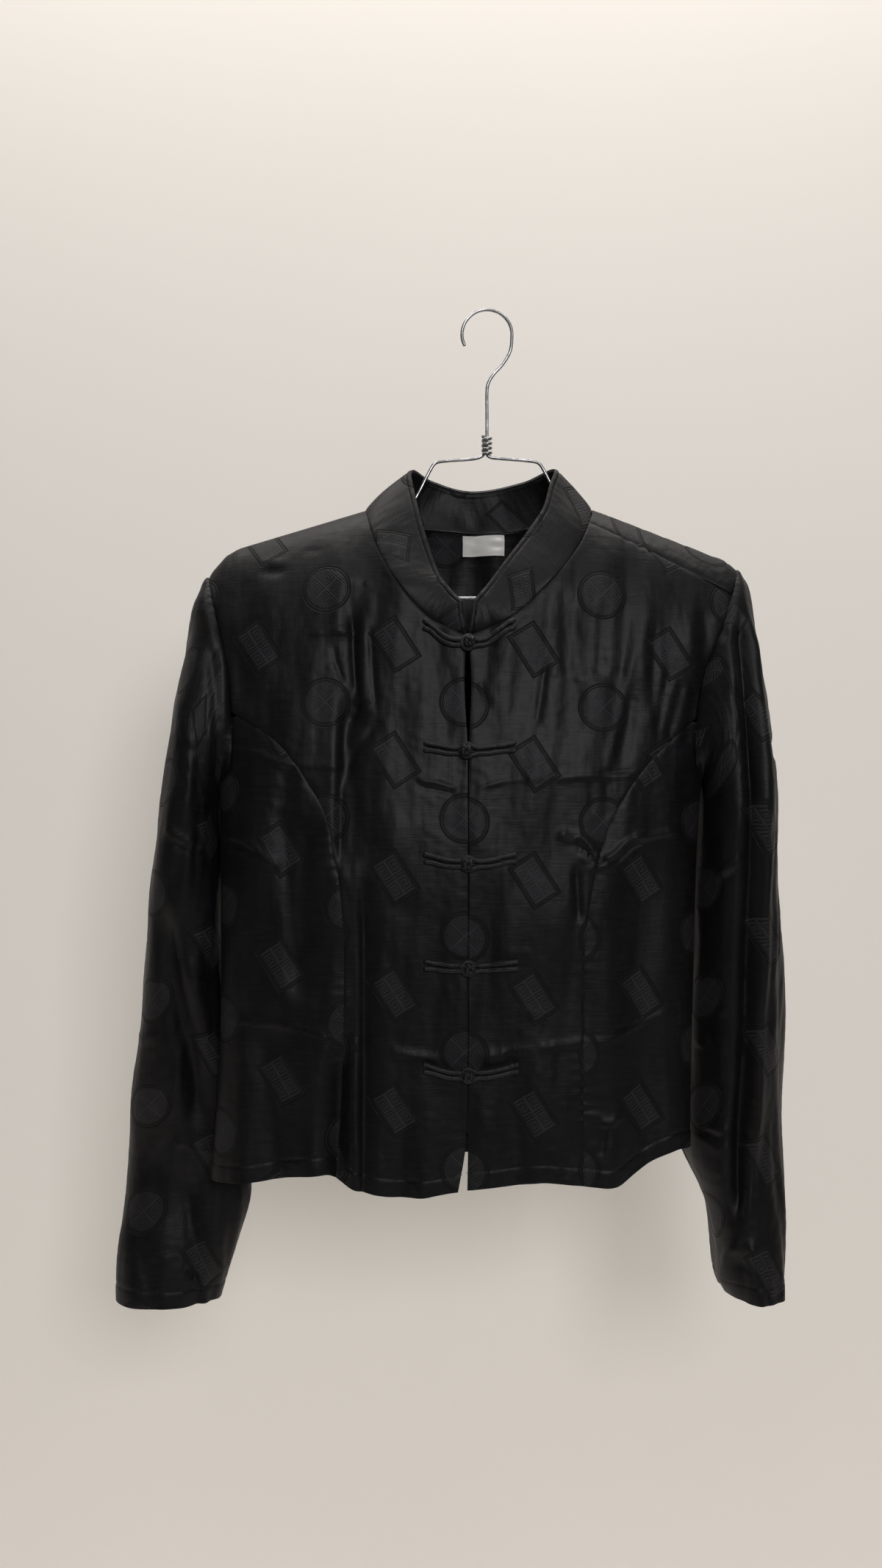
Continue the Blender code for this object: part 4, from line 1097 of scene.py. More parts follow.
SLEEVE_LEFT = Table((
    # z       outer    inner    middle  half_depth
    (-0.200, 0.2035, 0.1300, 0.0000, 0.0330),
    (-0.215, 0.2075, 0.1350, 0.0000, 0.0340),
    (-0.230, 0.2125, 0.1400, 0.0000, 0.0350),
    (-0.276, 0.2174, 0.1500, 0.0010, 0.0400),
    (-0.330, 0.2225, 0.1690, 0.0020, 0.0450),
    (-0.385, 0.2265, 0.1702, 0.0040, 0.0460),
    (-0.450, 0.2315, 0.1668, 0.0130, 0.0440),
    (-0.523, 0.2380, 0.1650, 0.0220, 0.0430),
    (-0.590, 0.2390, 0.1636, 0.0270, 0.0420),
    (-0.667, 0.2389, 0.1630, 0.0290, 0.0420),
    (-0.714, 0.2380, 0.1780, 0.0250, 0.0420),
    (-0.760, 0.2366, 0.1849, 0.0210, 0.0420),
    (-0.7755, 0.2360, 0.1895, 0.0200, 0.0420),
))

# Folds of the sleeves: line, half width, rise
SLEEVE_RIGHT_FOLDS = creases(
    Form.FOLD,
    (9.5, -8, 0.25, -253, -450, -249.4, -496, -244.6, -528, -237, -566, -231.4, -600, -227.6,
     -638, -225, -670),
    (7, 3, 0.22, -233, -500, -224, -560, -213, -610),
    (13, -6, 0.22, -244, -670, -235, -715, -229, -770, -229, -830),
    (10, 1.8, 0.22, -275, -560, -279, -660, -283, -830),
    (5.5, 0.9, 0.22, -241, -300, -230, -338, -219, -345),
    (4.5, -0.9, 0.22, -236, -330, -228, -346, -218, -350),
    (7, -1.6, 0.22, -213, -262, -211, -300, -210, -340),
    (2.4, -2.2, 0.22, -242, -415, -230, -421.5, -213, -424),
    (4, 2.6, 0.22, -229, -752, -225, -775, -224, -800),
    (3, -1.8, 0.22, -240, -757, -229, -768),
) + creases(
    Form.PRESS,
    (3.6, 2.1, 0.14, -247, -404, -233.3, -416, -223.8, -420.2, -210, -420.9),
    (3.6, 1.2, 0.22, -250, -656, -233.3, -662.9, -216.2, -666.7),
    (3.6, 0.8, 0.22, -295, -572, -275, -575, -256, -570),
    (3.6, 0.6, 0.22, -274, -746, -250, -752),
)
SLEEVE_LEFT_FOLDS = creases(
    Form.FOLD,
    (6.2, -8.5, 0.07, 193, -232, 195, -282, 198.5, -334, 200.4, -415, 200, -490, 200.4, -560,
     198.5, -620, 195.5, -676, 193.8, -725),
    (4.2, 3.4, 0.07, 203, -235, 207.9, -301, 210.8, -348, 212, -415, 213.6, -480, 211.7, -555,
     209.8, -619, 204.1, -676, 198.5, -728),
    (2.8, -3.4, 0.22, 188.5, -234, 181.5, -253, 179.6, -264),
    (7, 2.6, 0.22, 184, -242, 190, -270, 186, -310),
    (2.4, -1.4, 0.22, 176, -451, 188, -441),
    (3, -1.4, 0.22, 219, -336, 223, -356),
    (3.4, 3, 0.22, 198.5, -722, 189, -744, 185.5, -790),
    (3.4, 2.4, 0.22, 200, -722, 208, -746, 212, -790),
    (5, -2.6, 0.22, 197.5, -735, 198, -760, 198, -790),
    (3, -1.8, 0.22, 168, -646, 182, -651),
    (3, 1.8, 0.22, 174, -574, 166, -579),
    (6, -1.8, 0.22, 230, -300, 232, -500, 232, -700),
    (7, -1.6, 0.22, 173, -380, 174, -560, 175, -700),
) + creases(
    Form.PRESS,
    (3.6, 1.5, 0.22, 171, -448, 183.3, -437.3, 195, -427),
    (3.6, 1.2, 0.22, 163, -640, 178, -644, 190, -642),
    (3.6, 1, 0.22, 168, -652, 180, -658, 193, -656),
    (3.6, 1, 0.22, 164, -554, 176, -551, 190, -548),
)
SLEEVE_BACK_RIGHT = creases(
    Form.FOLD,
    (13, -5, 0.22, -230, -380, -242, -520, -250, -700),
    (11, 2.6, 0.22, -250, -420, -265, -600, -270, -830),
    (9, -3.2, 0.22, -220, -560, -225, -700, -235, -830),
    (6, -2.2, 0.22, -210, -270, -218, -330),
) + creases(
    Form.PRESS,
    (3.6, 1.5, 0.22, -250, -416, -232, -422, -215, -418),
    (3.6, 1, 0.22, -275, -568, -245, -574, -215, -570),
)
SLEEVE_BACK_LEFT = creases(
    Form.FOLD,
    (12, -5.2, 0.22, 190, -340, 201, -500, 208, -720),
    (10, 2.4, 0.22, 216, -400, 220, -600, 218, -800),
    (8, -2.8, 0.22, 180, -600, 186, -700, 195, -800),
    (6, -2.2, 0.22, 180, -270, 190, -330),
) + creases(
    Form.PRESS,
    (3.6, 1.5, 0.22, 175, -420, 195, -428, 220, -422),
    (3.6, 1, 0.22, 172, -565, 200, -570, 230, -562),
)


@dataclass(frozen=True)
class Collar:
    """Stand collar of doubled silk, its ends meeting at the centre front."""

    cut: Cut
    gap: float = 0.0002
    height: float = 0.046
    thickness: float = 0.0022
    belly: float = 0.002
    band: float = 0.0036            # edging along the top and the front ends
    columns: int = 72               # over each third
    rows: int = 40
    pattern: Pair = (0.0977, 0.0130)
    drawn_in: float = 1.178
    # top edge: share along, x, y, z; the thirds stand over right front, back and left front
    top: Table = Table((
        (0.000, -0.0208, -0.0425, -0.2350),
        (0.089, -0.0307, -0.0385, -0.2235),
        (0.179, -0.0391, -0.0320, -0.2100),
        (0.236, -0.0495, -0.0220, -0.1780),
        (0.292, -0.0566, -0.0110, -0.1488),
        (0.333, -0.0605, 0.0050, -0.1245),
        (0.400, -0.0440, 0.0230, -0.1290),
        (0.500, -0.0110, 0.0300, -0.1360),
        (0.600, 0.0300, 0.0240, -0.1300),
        (0.667, 0.0530, -0.0010, -0.1255),
        (0.698, 0.0490, -0.0100, -0.1400),
        (0.738, 0.0434, -0.0180, -0.1590),
        (0.791, 0.0310, -0.0250, -0.1780),
        (0.860, 0.0130, -0.0310, -0.2030),
        (0.918, -0.0020, -0.0370, -0.2230),
        (1.000, -0.0112, -0.0425, -0.2350),
    ))

    def seam(self, along: Array) -> Array:
        """Points of the neckline seam at shares along the collar."""
        form = self.cut.form
        right, left, back = self.cut.necks()
        third = np.minimum((along * 3).astype(int), 2)
        rest = along * 3 - third
        points = np.zeros((len(along), 3))
        for index, (line, face) in enumerate(((right, FRONT), (back, BACK), (left, FRONT))):
            x, z = path_at(line, 1.0 - rest if index == 0 else rest).T
            here = form.place(face, form.share(x, z), z)
            points = np.where((third == index)[:, None], here, points)
        return points

    def sheet(self) -> Sheet:
        """The collar's middle surface, with its edging."""
        along = stops((0.0, 1 / 3, 2 / 3, 1.0), (self.columns,) * 3, 0.35)
        rise = stops((0.0, 1.0), (self.rows,), 0.75)
        seam, top = self.seam(along), self.top.at(along)
        base = seam + unit(top - seam) * self.gap
        points = base[None] * (1 - rise[:, None, None]) + top[None] * rise[:, None, None]
        away = points * np.array([1.0, 1.0, 0.0]) + np.array([0.005, -0.005, 0.0])
        away = unit(away)
        points = points + away * (self.belly * np.sin(math.pi * rise))[:, None, None]
        flat = np.stack(np.broadcast_arrays(lengths_along(base)[None], rise[:, None] * self.height), axis=-1)
        flat = (flat - np.array(self.pattern)) * np.array([self.drawn_in, 1.0])
        sheet = Sheet("collar", points, away, flat, (Rim.SEWN, Rim.RAW, Rim.RAW, Rim.RAW),
                      thickness=self.thickness, drawn_in=self.drawn_in)
        _, from_top, from_right, from_left = rim_distances(points)
        edge = np.minimum(np.minimum(from_top, from_right), from_left)
        sheet.out = (
            -0.00055 * bell(edge - self.band, 0.0007) + 0.00025 * bell(edge - self.band / 2, 0.0012)
            - 0.0007 * np.exp(-edge / 0.0006) + self.wave(along, rise))
        return sheet

    def wave(self, along: Array, rise: Array) -> Array:
        """Soft unevenness of the band."""
        return 0.0007 * waves(along[None] * 0.35, rise[:, None] * self.height, 0.05, 0.06, 51)


def tube(name: str, points: Array, radius: float | Array, sides: int = 12,
         closed: bool = False) -> Object:
    """Round cord or wire along points, with rounded ends.

    Args:
        name: of the object.
        points: (n, 3) places.
        radius: one, or one for each point.
        sides: around it.
        closed: the last point joins the first.

    Returns:
        The object, with a UV map named Cloth in metres: round it and along it.
    """
    points = np.asarray(points, float)
    radius = np.broadcast_to(np.asarray(radius, float), len(points)).copy()
    if not closed:
        heads, tails = [], []
        for turn in (0.95, 0.75, 0.4):
            step = radius[0] * 0.7 * math.sin(turn * math.pi / 2)
            heads.append((points[0] + unit(points[0] - points[1]) * step, radius[0] * math.cos(turn * 1.45)))
            step = radius[-1] * 0.7 * math.sin(turn * math.pi / 2)
            tails.append((points[-1] + unit(points[-1] - points[-2]) * step,
                          radius[-1] * math.cos(turn * 1.45)))
        points = np.array([p for p, _ in heads] + list(points) + [p for p, _ in tails[::-1]])
        radius = np.array([r for _, r in heads] + list(radius) + [r for _, r in tails[::-1]])
    count = len(points)
    ahead = np.roll(points, -1, axis=0) if closed else np.vstack([points[1:], points[-1:]])
    behind = np.roll(points, 1, axis=0) if closed else np.vstack([points[:1], points[:-1]])
    along = unit(ahead - behind)
    frame_vectors = np.zeros((count, 3))
    guide = np.array([0.0, 1.0, 0.0]) if abs(along[0][1]) < 0.9 else np.array([1.0, 0.0, 0.0])
    frame_vectors[0] = unit(guide - along[0] * (guide @ along[0]))
    for k in range(1, count):
        carried = frame_vectors[k - 1] - along[k] * (frame_vectors[k - 1] @ along[k])
        frame_vectors[k] = unit(carried)
    sideways = np.cross(along, frame_vectors)
    spin = np.zeros(count)
    if closed:
        last = unit(frame_vectors[-1] - along[0] * (frame_vectors[-1] @ along[0]))
        slip = math.atan2(last @ sideways[0], last @ frame_vectors[0])
        spin = -slip * np.arange(count) / count
    angle = 2 * math.pi * np.arange(sides)[None] / sides + spin[:, None]
    around = frame_vectors[:, None] * np.cos(angle)[..., None] + sideways[:, None] * np.sin(angle)[..., None]
    vertices = (points[:, None] + around * radius[:, None, None]).reshape(-1, 3)
    lengths = lengths_along(np.vstack([points, points[:1]]))
    girth = 2 * math.pi * float(radius.mean()) / sides
    faces, uv = [], []
    for j in range(count if closed else count - 1):
        k = (j + 1) % count
        for i in range(sides):
            m = (i + 1) % sides
            faces.append((j * sides + i, j * sides + m, k * sides + m, k * sides + i))
            uv += [(i * girth, lengths[j]), ((i + 1) * girth, lengths[j]),
                   ((i + 1) * girth, lengths[j + 1]), (i * girth, lengths[j + 1])]
    if not closed:
        faces.append(tuple(range(sides))[::-1])
        faces.append(tuple((count - 1) * sides + i for i in range(sides)))
        uv += [(0.0, 0.0)] * (2 * sides)
    return mesh_object(name, vertices, faces, np.array(uv))


def merged(name: str, pieces: Sequence[Object]) -> Object:
    """Several plain meshes made one."""
    vertices, faces, uv = [], [], []
    for piece in pieces:
        start = len(vertices)
        data = piece.data
        vertices += [tuple(v.co) for v in data.vertices]
        faces += [tuple(start + k for k in face.vertices) for face in data.polygons]
        uv += [tuple(loop.uv) for loop in data.uv_layers["Cloth"].data]
        bpy.data.objects.remove(piece)
        bpy.data.meshes.remove(data)
    return mesh_object(name, np.array(vertices), faces, np.array(uv))


@dataclass(frozen=True)
class Frog:
    """One closure: a doubled cord ending in a ball knot, and the loop that holds it.

    Fields: number, the knot's x and z, how far it reaches right and left, and
    how much higher its outer ends lie.
    """

    form: BodyForm
    number: int
    x: float
    z: float
    right: float
    left: float
    rise: float
    cord: float = 0.0019
    loop: float = 0.0047
    knot: float = 0.0033
    knot_cord: float = 0.00135
    knot_lift: float = 0.0052
    apart: float = 0.0020

    def on_front(self, route: Sequence[Pair], lift: Array | float) -> Array:
        """Points of a cord lying on the front along (x, z) places."""
        x, z = np.array(route).T
        point, normal = self.form.spot(FRONT, x, z)
        return point + normal * (MAKE.cloth / 2 + 0.0002 + self.cord + np.asarray(lift))[..., None]

    def strand(self, side: int, reach: float, sign: int) -> list[Pair]:
        """One of the two cords of a half, from the knot outwards."""
        start = self.loop + 2 * self.cord - 0.0006
        places = []
        for k in range(9):
            t = k / 8
            away = start + (reach - self.cord - start) * t
            centre = self.z + self.rise * t * t * (3 - 2 * t) * (0.4 + 0.6 * t)
            spread = self.apart * (1.0 + 0.10 * math.sin(math.pi * t) + 0.32 * smooth(np.array(t * 4 - 3)))
            places.append((self.x + side * away, centre + sign * float(spread)))
        return places

    def button(self) -> Object:
        """The half that carries the knot."""
        upper, lower = self.strand(-1, self.right, 1), self.strand(-1, self.right, -1)
        neck = [(self.x - 0.0050, self.z + 0.0018), (self.x - 0.0018, self.z + 0.0009),
                (self.x - 0.0018, self.z - 0.0009), (self.x - 0.0050, self.z - 0.0018)]
        route = upper[::-1] + neck + lower
        lift = np.zeros(len(route))
        lift[9:13] = (0.0004, 0.0012, 0.0012, 0.0004)
        return self.cord_along("button", route, lift)

    def loop_half(self) -> Object:
        """The half that loops round the knot's neck."""
        upper, lower = self.strand(1, self.left, 1), self.strand(1, self.left, -1)
        turns = np.radians(np.arange(48, 320, 24))
        ring = list(zip(self.x + self.loop * np.cos(turns), self.z + self.loop * np.sin(turns)))
        route = upper[::-1] + ring + lower
        lift = np.zeros(len(route))
        lift[9:9 + len(ring)] = 0.0006
        return self.cord_along("loop", route, lift)

    def cord_along(self, part: str, route: list[Pair], lift: Array) -> Object:
        """A half's cord, a little uneven as hand-bound cord is."""
        rough = self.on_front(route, lift)
        points = path_at(rough, np.linspace(0.0, 1.0, 120))
        along = np.linspace(0.0, 0.1, len(points))
        uneven = 1.0 + 0.045 * waves(along, along * 0.0, 0.006, 1.0, 60 + self.number)
        return tube(f"frog_{self.number}_{part}_cord", points, self.cord * uneven, 14)

    def ball(self) -> Object:
        """The ball knot: one cord plaited over a core."""
        t = np.linspace(0.0, 2 * math.pi, 180, endpoint=False)
        latitude, longitude = 1.02 * np.cos(4 * t), 3 * t
        away = self.knot * (1.0 + 0.13 * np.sin(8 * t + 0.4))
        centre = self.on_front([(self.x, self.z)], self.knot_lift)[0]
        plait = np.stack([away * np.cos(latitude) * np.cos(longitude), -away * np.sin(latitude),
                          away * np.cos(latitude) * np.sin(longitude)], axis=-1)
        cord = tube("plait", centre + plait, self.knot_cord, 10, closed=True)
        rows = np.linspace(-1.0, 1.0, 16)
        axis = centre + np.stack([rows * 0, rows * self.knot, rows * 0], axis=-1)
        core = tube("core", axis, self.knot * np.sqrt(np.maximum(1.0 - rows**2, 0.003)), 20)
        return merged(f"frog_{self.number}_knot_ball", [cord, core])


@dataclass(frozen=True)
class Label:
    """Plain satin label inside the back neck, with no lettering."""

    form: BodyForm
    width: float = 0.034
    height: float = 0.016
    centre_x: float = -0.0025
    top_z: float = -0.1712
    thickness: float = 0.0006
    clearance: float = 0.0027

    def sheet(self) -> Sheet:
        """The label's middle surface."""
        across, up = stops((0.0, 1.0), (68,), 0.3), stops((0.0, 1.0), (32,), 0.3)
        x = self.centre_x + self.width * (np.broadcast_to(across, (33, 69)) - 0.5)
        z = self.top_z - self.height * (1.0 - np.broadcast_to(up[:, None], (33, 69)))
        point, normal = self.form.spot(BACK, x, z)
        lift = self.clearance + 0.0004 * np.sin(math.pi * across)[None] * np.sin(math.pi * up)[:, None]
        points = point - normal * lift[..., None]
        flat = np.stack([x, z], axis=-1)
        out = 0.00022 * waves(x, z, 0.014, 0.010, 71)
        return Sheet("neck_label", points, -normal, flat, (Rim.RAW,) * 4, out=out,
                     thickness=self.thickness)


@dataclass(frozen=True)
class Hanger:
    """One bent wire: hook, stem, arms and bar, its end wound round the stem.

    The winding spans the stem's run between coil_top and coil_bottom.
    """

    wire: float = 0.00135
    hook: float = 0.0197
    coil: float = 0.0031
    coil_top: float = -0.0985
    coil_bottom: float = -0.1135
    coil_turns: int = 4

    def arc(self, centre: Pair, radius: float, start: float, end: float,
            count: int) -> list[Triple]:
        """Points of an arc in the hanger's plane, angles in degrees."""
        angles = [math.radians(start + (end - start) * k / count) for k in range(count + 1)]
        return [(centre[0] + radius * math.cos(a), 0.0, centre[1] + radius * math.sin(a)) for a in angles]

    def route(self) -> Array:
        """The wire's route from the hook's tip to the end of its winding."""
        flat = line(
            18.4, -31, 12.5, -41.5, 5, -50, 1, -57, 0, -64, 0, -80, 0, -98.5, 0, -112.5, 2.5, -115, 10,
            -116, 38, -118.7, 42.5, -121.5, 56, -146.5, 61, -152.5, 70, -156.5, 130, -179.8, 180,
            -200.5)
        bar = line(150, -226.2, 0, -226.2, -160, -226.2)
        back = line(
            -130, -175.8, -70, -156.2, -61, -152, -56, -147, -42.5, -121.5, -38, -118.7, -12, -116.5,
            -6, -115.2)
        route = self.arc((0.0, self.wire - self.hook), self.hook, 205, 0, 14)
        route += [(x, 0.0, z) for x, z in flat] + self.arc((0.1785, -0.2138), 0.0125, 72, -95, 7)
        route += [(x, 0.0, z) for x, z in bar] + self.arc((-0.1820, -0.2120), 0.0140, -95, -252, 7)
        route += [(x, 0.0, z) for x, z in back]
        steps = self.coil_turns * 12
        for k in range(steps + 1):
            angle = math.pi + 2 * math.pi * self.coil_turns * k / steps
            route.append((self.coil * math.cos(angle), self.coil * math.sin(angle),
                          self.coil_bottom + (self.coil_top - self.coil_bottom) * k / steps))
        return np.array(route)

    def build(self) -> Object:
        """The wire as a fine tube."""
        return tube("wire_hanger", path_at(self.route(), np.linspace(0.0, 1.0, 1500)), self.wire, 12)


class Graph:
    """Short way to add and join nodes in one tree."""

    def __init__(self, tree: Tree) -> None:
        self.tree = tree

    def node(self, kind: str, feeds: dict | None = None, **settings: object) -> Node:
        """A node with its settings and inputs.

        Args:
            kind: its Blender type.
            feeds: input (name or index) to a socket or a value.
            settings: attributes of the node.

        Returns:
            The node.
        """
        node = self.tree.nodes.new(kind)
        for key, value in settings.items():
            setattr(node, key, value)
        for key, value in (feeds or {}).items():
            self.feed(node.inputs[key], value)
        return node

    def feed(self, socket: Socket, value: object) -> None:
        """Join a socket to another, or set its value."""
        if isinstance(value, Socket):
            self.tree.links.new(value, socket)
        else:
            socket.default_value = value

    def math(self, operation: str, *values: object) -> Socket:
        """Result of a maths node."""
        return self.node("ShaderNodeMath", dict(enumerate(values)), operation=operation).outputs[0]

    def total(self, *parts: tuple[object, float]) -> Socket:
        """Sum of values, each times its weight."""
        terms = [self.math("MULTIPLY", value, weight) for value, weight in parts]
        return reduce(lambda first, second: self.math("ADD", first, second), terms)

    def beyond(self, value: object, limit: float) -> Socket:
        """How far a value, of either sign, is past a limit."""
        return self.math("SUBTRACT", self.math("ABSOLUTE", value), limit)

    def vector(self, operation: str, *values: object) -> Socket:
        """Result of a vector maths node."""
        return self.node("ShaderNodeVectorMath", dict(enumerate(values)), operation=operation).outputs[0]

    def ramp(self, value: object, low: float, high: float, start: float = 0.0,
             end: float = 1.0) -> Socket:
        """A value run from low..high to start..end, clamped."""
        feeds = {"Value": value, "From Min": low, "From Max": high, "To Min": start, "To Max": end}
        return self.node("ShaderNodeMapRange", feeds).outputs[0]

    def noise(self, place: object, scale: object, detail: float, rough: float = 0.5) -> Socket:
        """Soft noise of 0 to 1."""
        feeds = {"Vector": place, "Scale": scale, "Detail": detail, "Roughness": rough}
        return self.node("ShaderNodeTexNoise", feeds).outputs["Fac"]

    def solid(self) -> Socket:
        """Place in the object, in metres."""
        return self.node("ShaderNodeTexCoord").outputs["Object"]

    def cloth(self) -> Socket:
        """Place on the flat cloth, in metres."""
        return self.node("ShaderNodeUVMap", uv_map="Cloth").outputs[0]

    def turned(self, place: object, angle: object) -> Socket:
        """A place turned about Z."""
        feeds = {"Vector": place, "Angle": angle}
        return self.node("ShaderNodeVectorRotate", feeds, rotation_type="Z_AXIS").outputs[0]

    def split(self, vector: object) -> tuple[Socket, Socket]:
        """X and Y of a vector."""
        node = self.node("ShaderNodeSeparateXYZ", {0: vector})
        return node.outputs[0], node.outputs[1]

    def blend(self, factor: object, first: object, second: object) -> Socket:
        """Mix of two colours."""
        node = self.node("ShaderNodeMix", data_type="RGBA")
        for name, value in (("Factor_Float", factor), ("A_Color", first), ("B_Color", second)):
            self.feed(next(s for s in node.inputs if s.identifier == name), value)
        return next(s for s in node.outputs if s.identifier == "Result_Color")


def node_group(name: str, inputs: dict[str, tuple[str, object]], outputs: Sequence[str]) -> Graph:
    """New shader group with named sockets.

    Args:
        name: of the group.
        inputs: socket name to its kind ("Vector" or "Float") and default.
        outputs: names of the Float sockets it puts out.

    Returns:
        A graph on it; its "in" and "out" nodes carry those names.
    """
    tree = bpy.data.node_groups.new(name, "ShaderNodeTree")
    for key, (kind, default) in inputs.items():
        socket = tree.interface.new_socket(key, in_out="INPUT", socket_type=f"NodeSocket{kind}")
        if default is not None:
            socket.default_value = default
    for key in outputs:
        tree.interface.new_socket(key, in_out="OUTPUT", socket_type="NodeSocketFloat")
    graph = Graph(tree)
    graph.node("NodeGroupInput", name="in")
    graph.node("NodeGroupOutput", name="out")
    return graph


def stroke(graph: Graph, distance: object, centre: float, half: float) -> Socket:
    """Line drawn where a distance is near a value, with a soft edge."""
    off = graph.math("ABSOLUTE", graph.math("SUBTRACT", distance, centre))
    return graph.ramp(off, half * 1.25, half * 0.75)


def key_fret(graph: Graph, across: object, up: object, centre: Pair, squeeze: float,
             pitch: float) -> Socket:
    """Angular spiral strokes, the same in all four quarters of a figure.

    Args:
        graph: where it is drawn.
        across, up: the place in the figure.
        centre: of one quarter's spiral.
        squeeze: its width over its height.
        pitch: distance between two turns.

    Returns:
        1 on the strokes.
    """
    a = graph.math("DIVIDE", graph.beyond(across, centre[0]), squeeze)
    b = graph.beyond(up, centre[1])
    box = graph.math("MAXIMUM", graph.math("ABSOLUTE", a), graph.math("ABSOLUTE", b))
    turn = graph.math("DIVIDE", graph.math("ARCTAN2", b, a), math.pi / 2)
    side = graph.math("MULTIPLY", graph.math("ROUND", turn), 0.25)
    turns = graph.math("FRACT", graph.math("SUBTRACT", graph.math("DIVIDE", box, pitch), side))
    return graph.ramp(graph.math("ABSOLUTE", graph.math("SUBTRACT", turns, 0.5)), 0.28, 0.20)


def fret_figures() -> Tree:
    """Group that draws the woven figures: framed oblongs and roundels of fretwork, half dropped.

    Its Place is in metres on the flat cloth; Outline is 1 on a figure's
    sunken frame lines, Fret on its raised strokes and Field all over it.
    """
    graph = node_group("fret_figures", {
        "Place": ("Vector", None), "Across": ("Float", 0.105), "Up": ("Float", 0.0876),
        "Turn": ("Float", 1.0)}, ("Outline", "Fret", "Field"))
    half_width, half_height, radius, soft = 0.0186, 0.0124, 0.0190, 0.0003
    inside = graph.tree.nodes["in"].outputs
    half = graph.node("ShaderNodeCombineXYZ", {
        0: graph.math("MULTIPLY", inside["Across"], 0.5),
        1: graph.math("MULTIPLY", inside["Up"], 0.5)}).outputs[0]
    back = graph.vector("SCALE", half)
    back.node.inputs["Scale"].default_value = -1.0

    near = graph.vector("WRAP", inside["Place"], half, back)
    a, b = graph.split(graph.turned(near, inside["Turn"]))
    side = graph.math("MAXIMUM", graph.beyond(a, half_width), graph.beyond(b, half_height))
    oblong = graph.ramp(side, soft, -soft)
    frames = graph.math("MAXIMUM", stroke(graph, side, -0.0006, 0.00065),
                        stroke(graph, side, -0.0024, 0.00042))
    fret = graph.math("MULTIPLY", key_fret(graph, a, b, (0.0077, 0.0046), 1.55, 0.0017),
                      graph.ramp(side, -0.0032, -0.0036))
    bars = graph.math("MULTIPLY", stroke(graph, graph.math("ABSOLUTE", b), 0.0, 0.0004),
                      graph.ramp(side, -0.0032, -0.0036))
    oblong_fret = graph.math("MAXIMUM", fret, bars)

    moved = graph.vector("WRAP", graph.vector("ADD", inside["Place"], half), half, back)
    turned = graph.turned(moved, math.pi / 4)
    a, b = graph.split(turned)
    length = graph.vector("LENGTH", turned).node.outputs["Value"]
    round_field = graph.ramp(length, radius + soft, radius - soft)
    rings = graph.math("MAXIMUM", stroke(graph, length, 0.0183, 0.00065),
                       stroke(graph, length, 0.0164, 0.00042))
    within = graph.ramp(length, 0.0152, 0.0148)
    cross = graph.math("MINIMUM", graph.math("ABSOLUTE", a), graph.math("ABSOLUTE", b))
    fret = graph.math("MAXIMUM", key_fret(graph, a, b, (0.0062, 0.0062), 1.0, 0.0018),
                      stroke(graph, cross, 0.0, 0.0004))
    round_fret = graph.math("MULTIPLY", fret, within)

    out = graph.tree.nodes["out"]
    graph.feed(out.inputs["Outline"], graph.math("MAXIMUM", frames, rings))
    graph.feed(out.inputs["Fret"], graph.math("MAXIMUM", oblong_fret, round_fret))
    graph.feed(out.inputs["Field"], graph.math("MAXIMUM", oblong, round_field))
    return graph.tree


def slub_weave() -> Tree:
    """Group for the ground of the silk: uneven weft threads, warp and a soft cloudiness."""
    graph = node_group("slub_weave", {"Place": ("Vector", None), "Weft": ("Float", 1500.0)},
                       ("Height", "Tone"))
    inside = graph.tree.nodes["in"].outputs

    def threads(stretch: Triple, scale: object, detail: float) -> Socket:
        return graph.noise(graph.vector("MULTIPLY", inside["Place"], stretch), scale, detail, 0.6)

    weft = threads((0.035, 1.0, 1.0), inside["Weft"], 2.0)
    slub = threads((0.10, 1.0, 1.0), graph.math("MULTIPLY", inside["Weft"], 0.28), 2.0)
    warp = threads((1.0, 0.03, 1.0), graph.math("MULTIPLY", inside["Weft"], 0.9), 1.0)
    cloud = threads((1.0, 0.55, 1.0), 42.0, 3.0)
    crinkle = threads((1.0, 0.34, 1.0), 105.0, 1.5)
    out = graph.tree.nodes["out"]
    graph.feed(out.inputs["Height"], graph.total((weft, 0.20), (warp, 0.08), (slub, 0.40), (crinkle, 1.9)))
    graph.feed(out.inputs["Tone"], graph.ramp(graph.total((slub, 0.5), (cloud, 0.5)), 0.34, 0.66))
    return graph.tree


@dataclass(frozen=True)
class Finish:
    """A finish and the fixed settings of its shader."""

    name: str
    slot: str
    roughness: float
    metallic: float = 0.0
    sheen: float = 0.0
    specular: float = 0.5

    def start(self) -> tuple[Material, Graph, Node]:
        """New material with its shader's own sockets set."""
        material = bpy.data.materials.new(self.name)
        material.use_nodes = True
        shader = material.node_tree.nodes["Principled BSDF"]
        shader.inputs["Roughness"].default_value = self.roughness
        shader.inputs["Metallic"].default_value = self.metallic
        shader.inputs["Sheen Weight"].default_value = self.sheen
        shader.inputs["Sheen Roughness"].default_value = 0.45
        shader.inputs["Specular IOR Level"].default_value = self.specular
        return material, Graph(material.node_tree), shader

    def bump(self, graph: Graph, shader: Node, height: Socket, depth: float) -> None:
        """Feed a height to the shader's normal."""
        feeds = {"Height": height, "Distance": depth, "Strength": 1.0}
        graph.feed(shader.inputs["Normal"], graph.node("ShaderNodeBump", feeds).outputs[0])


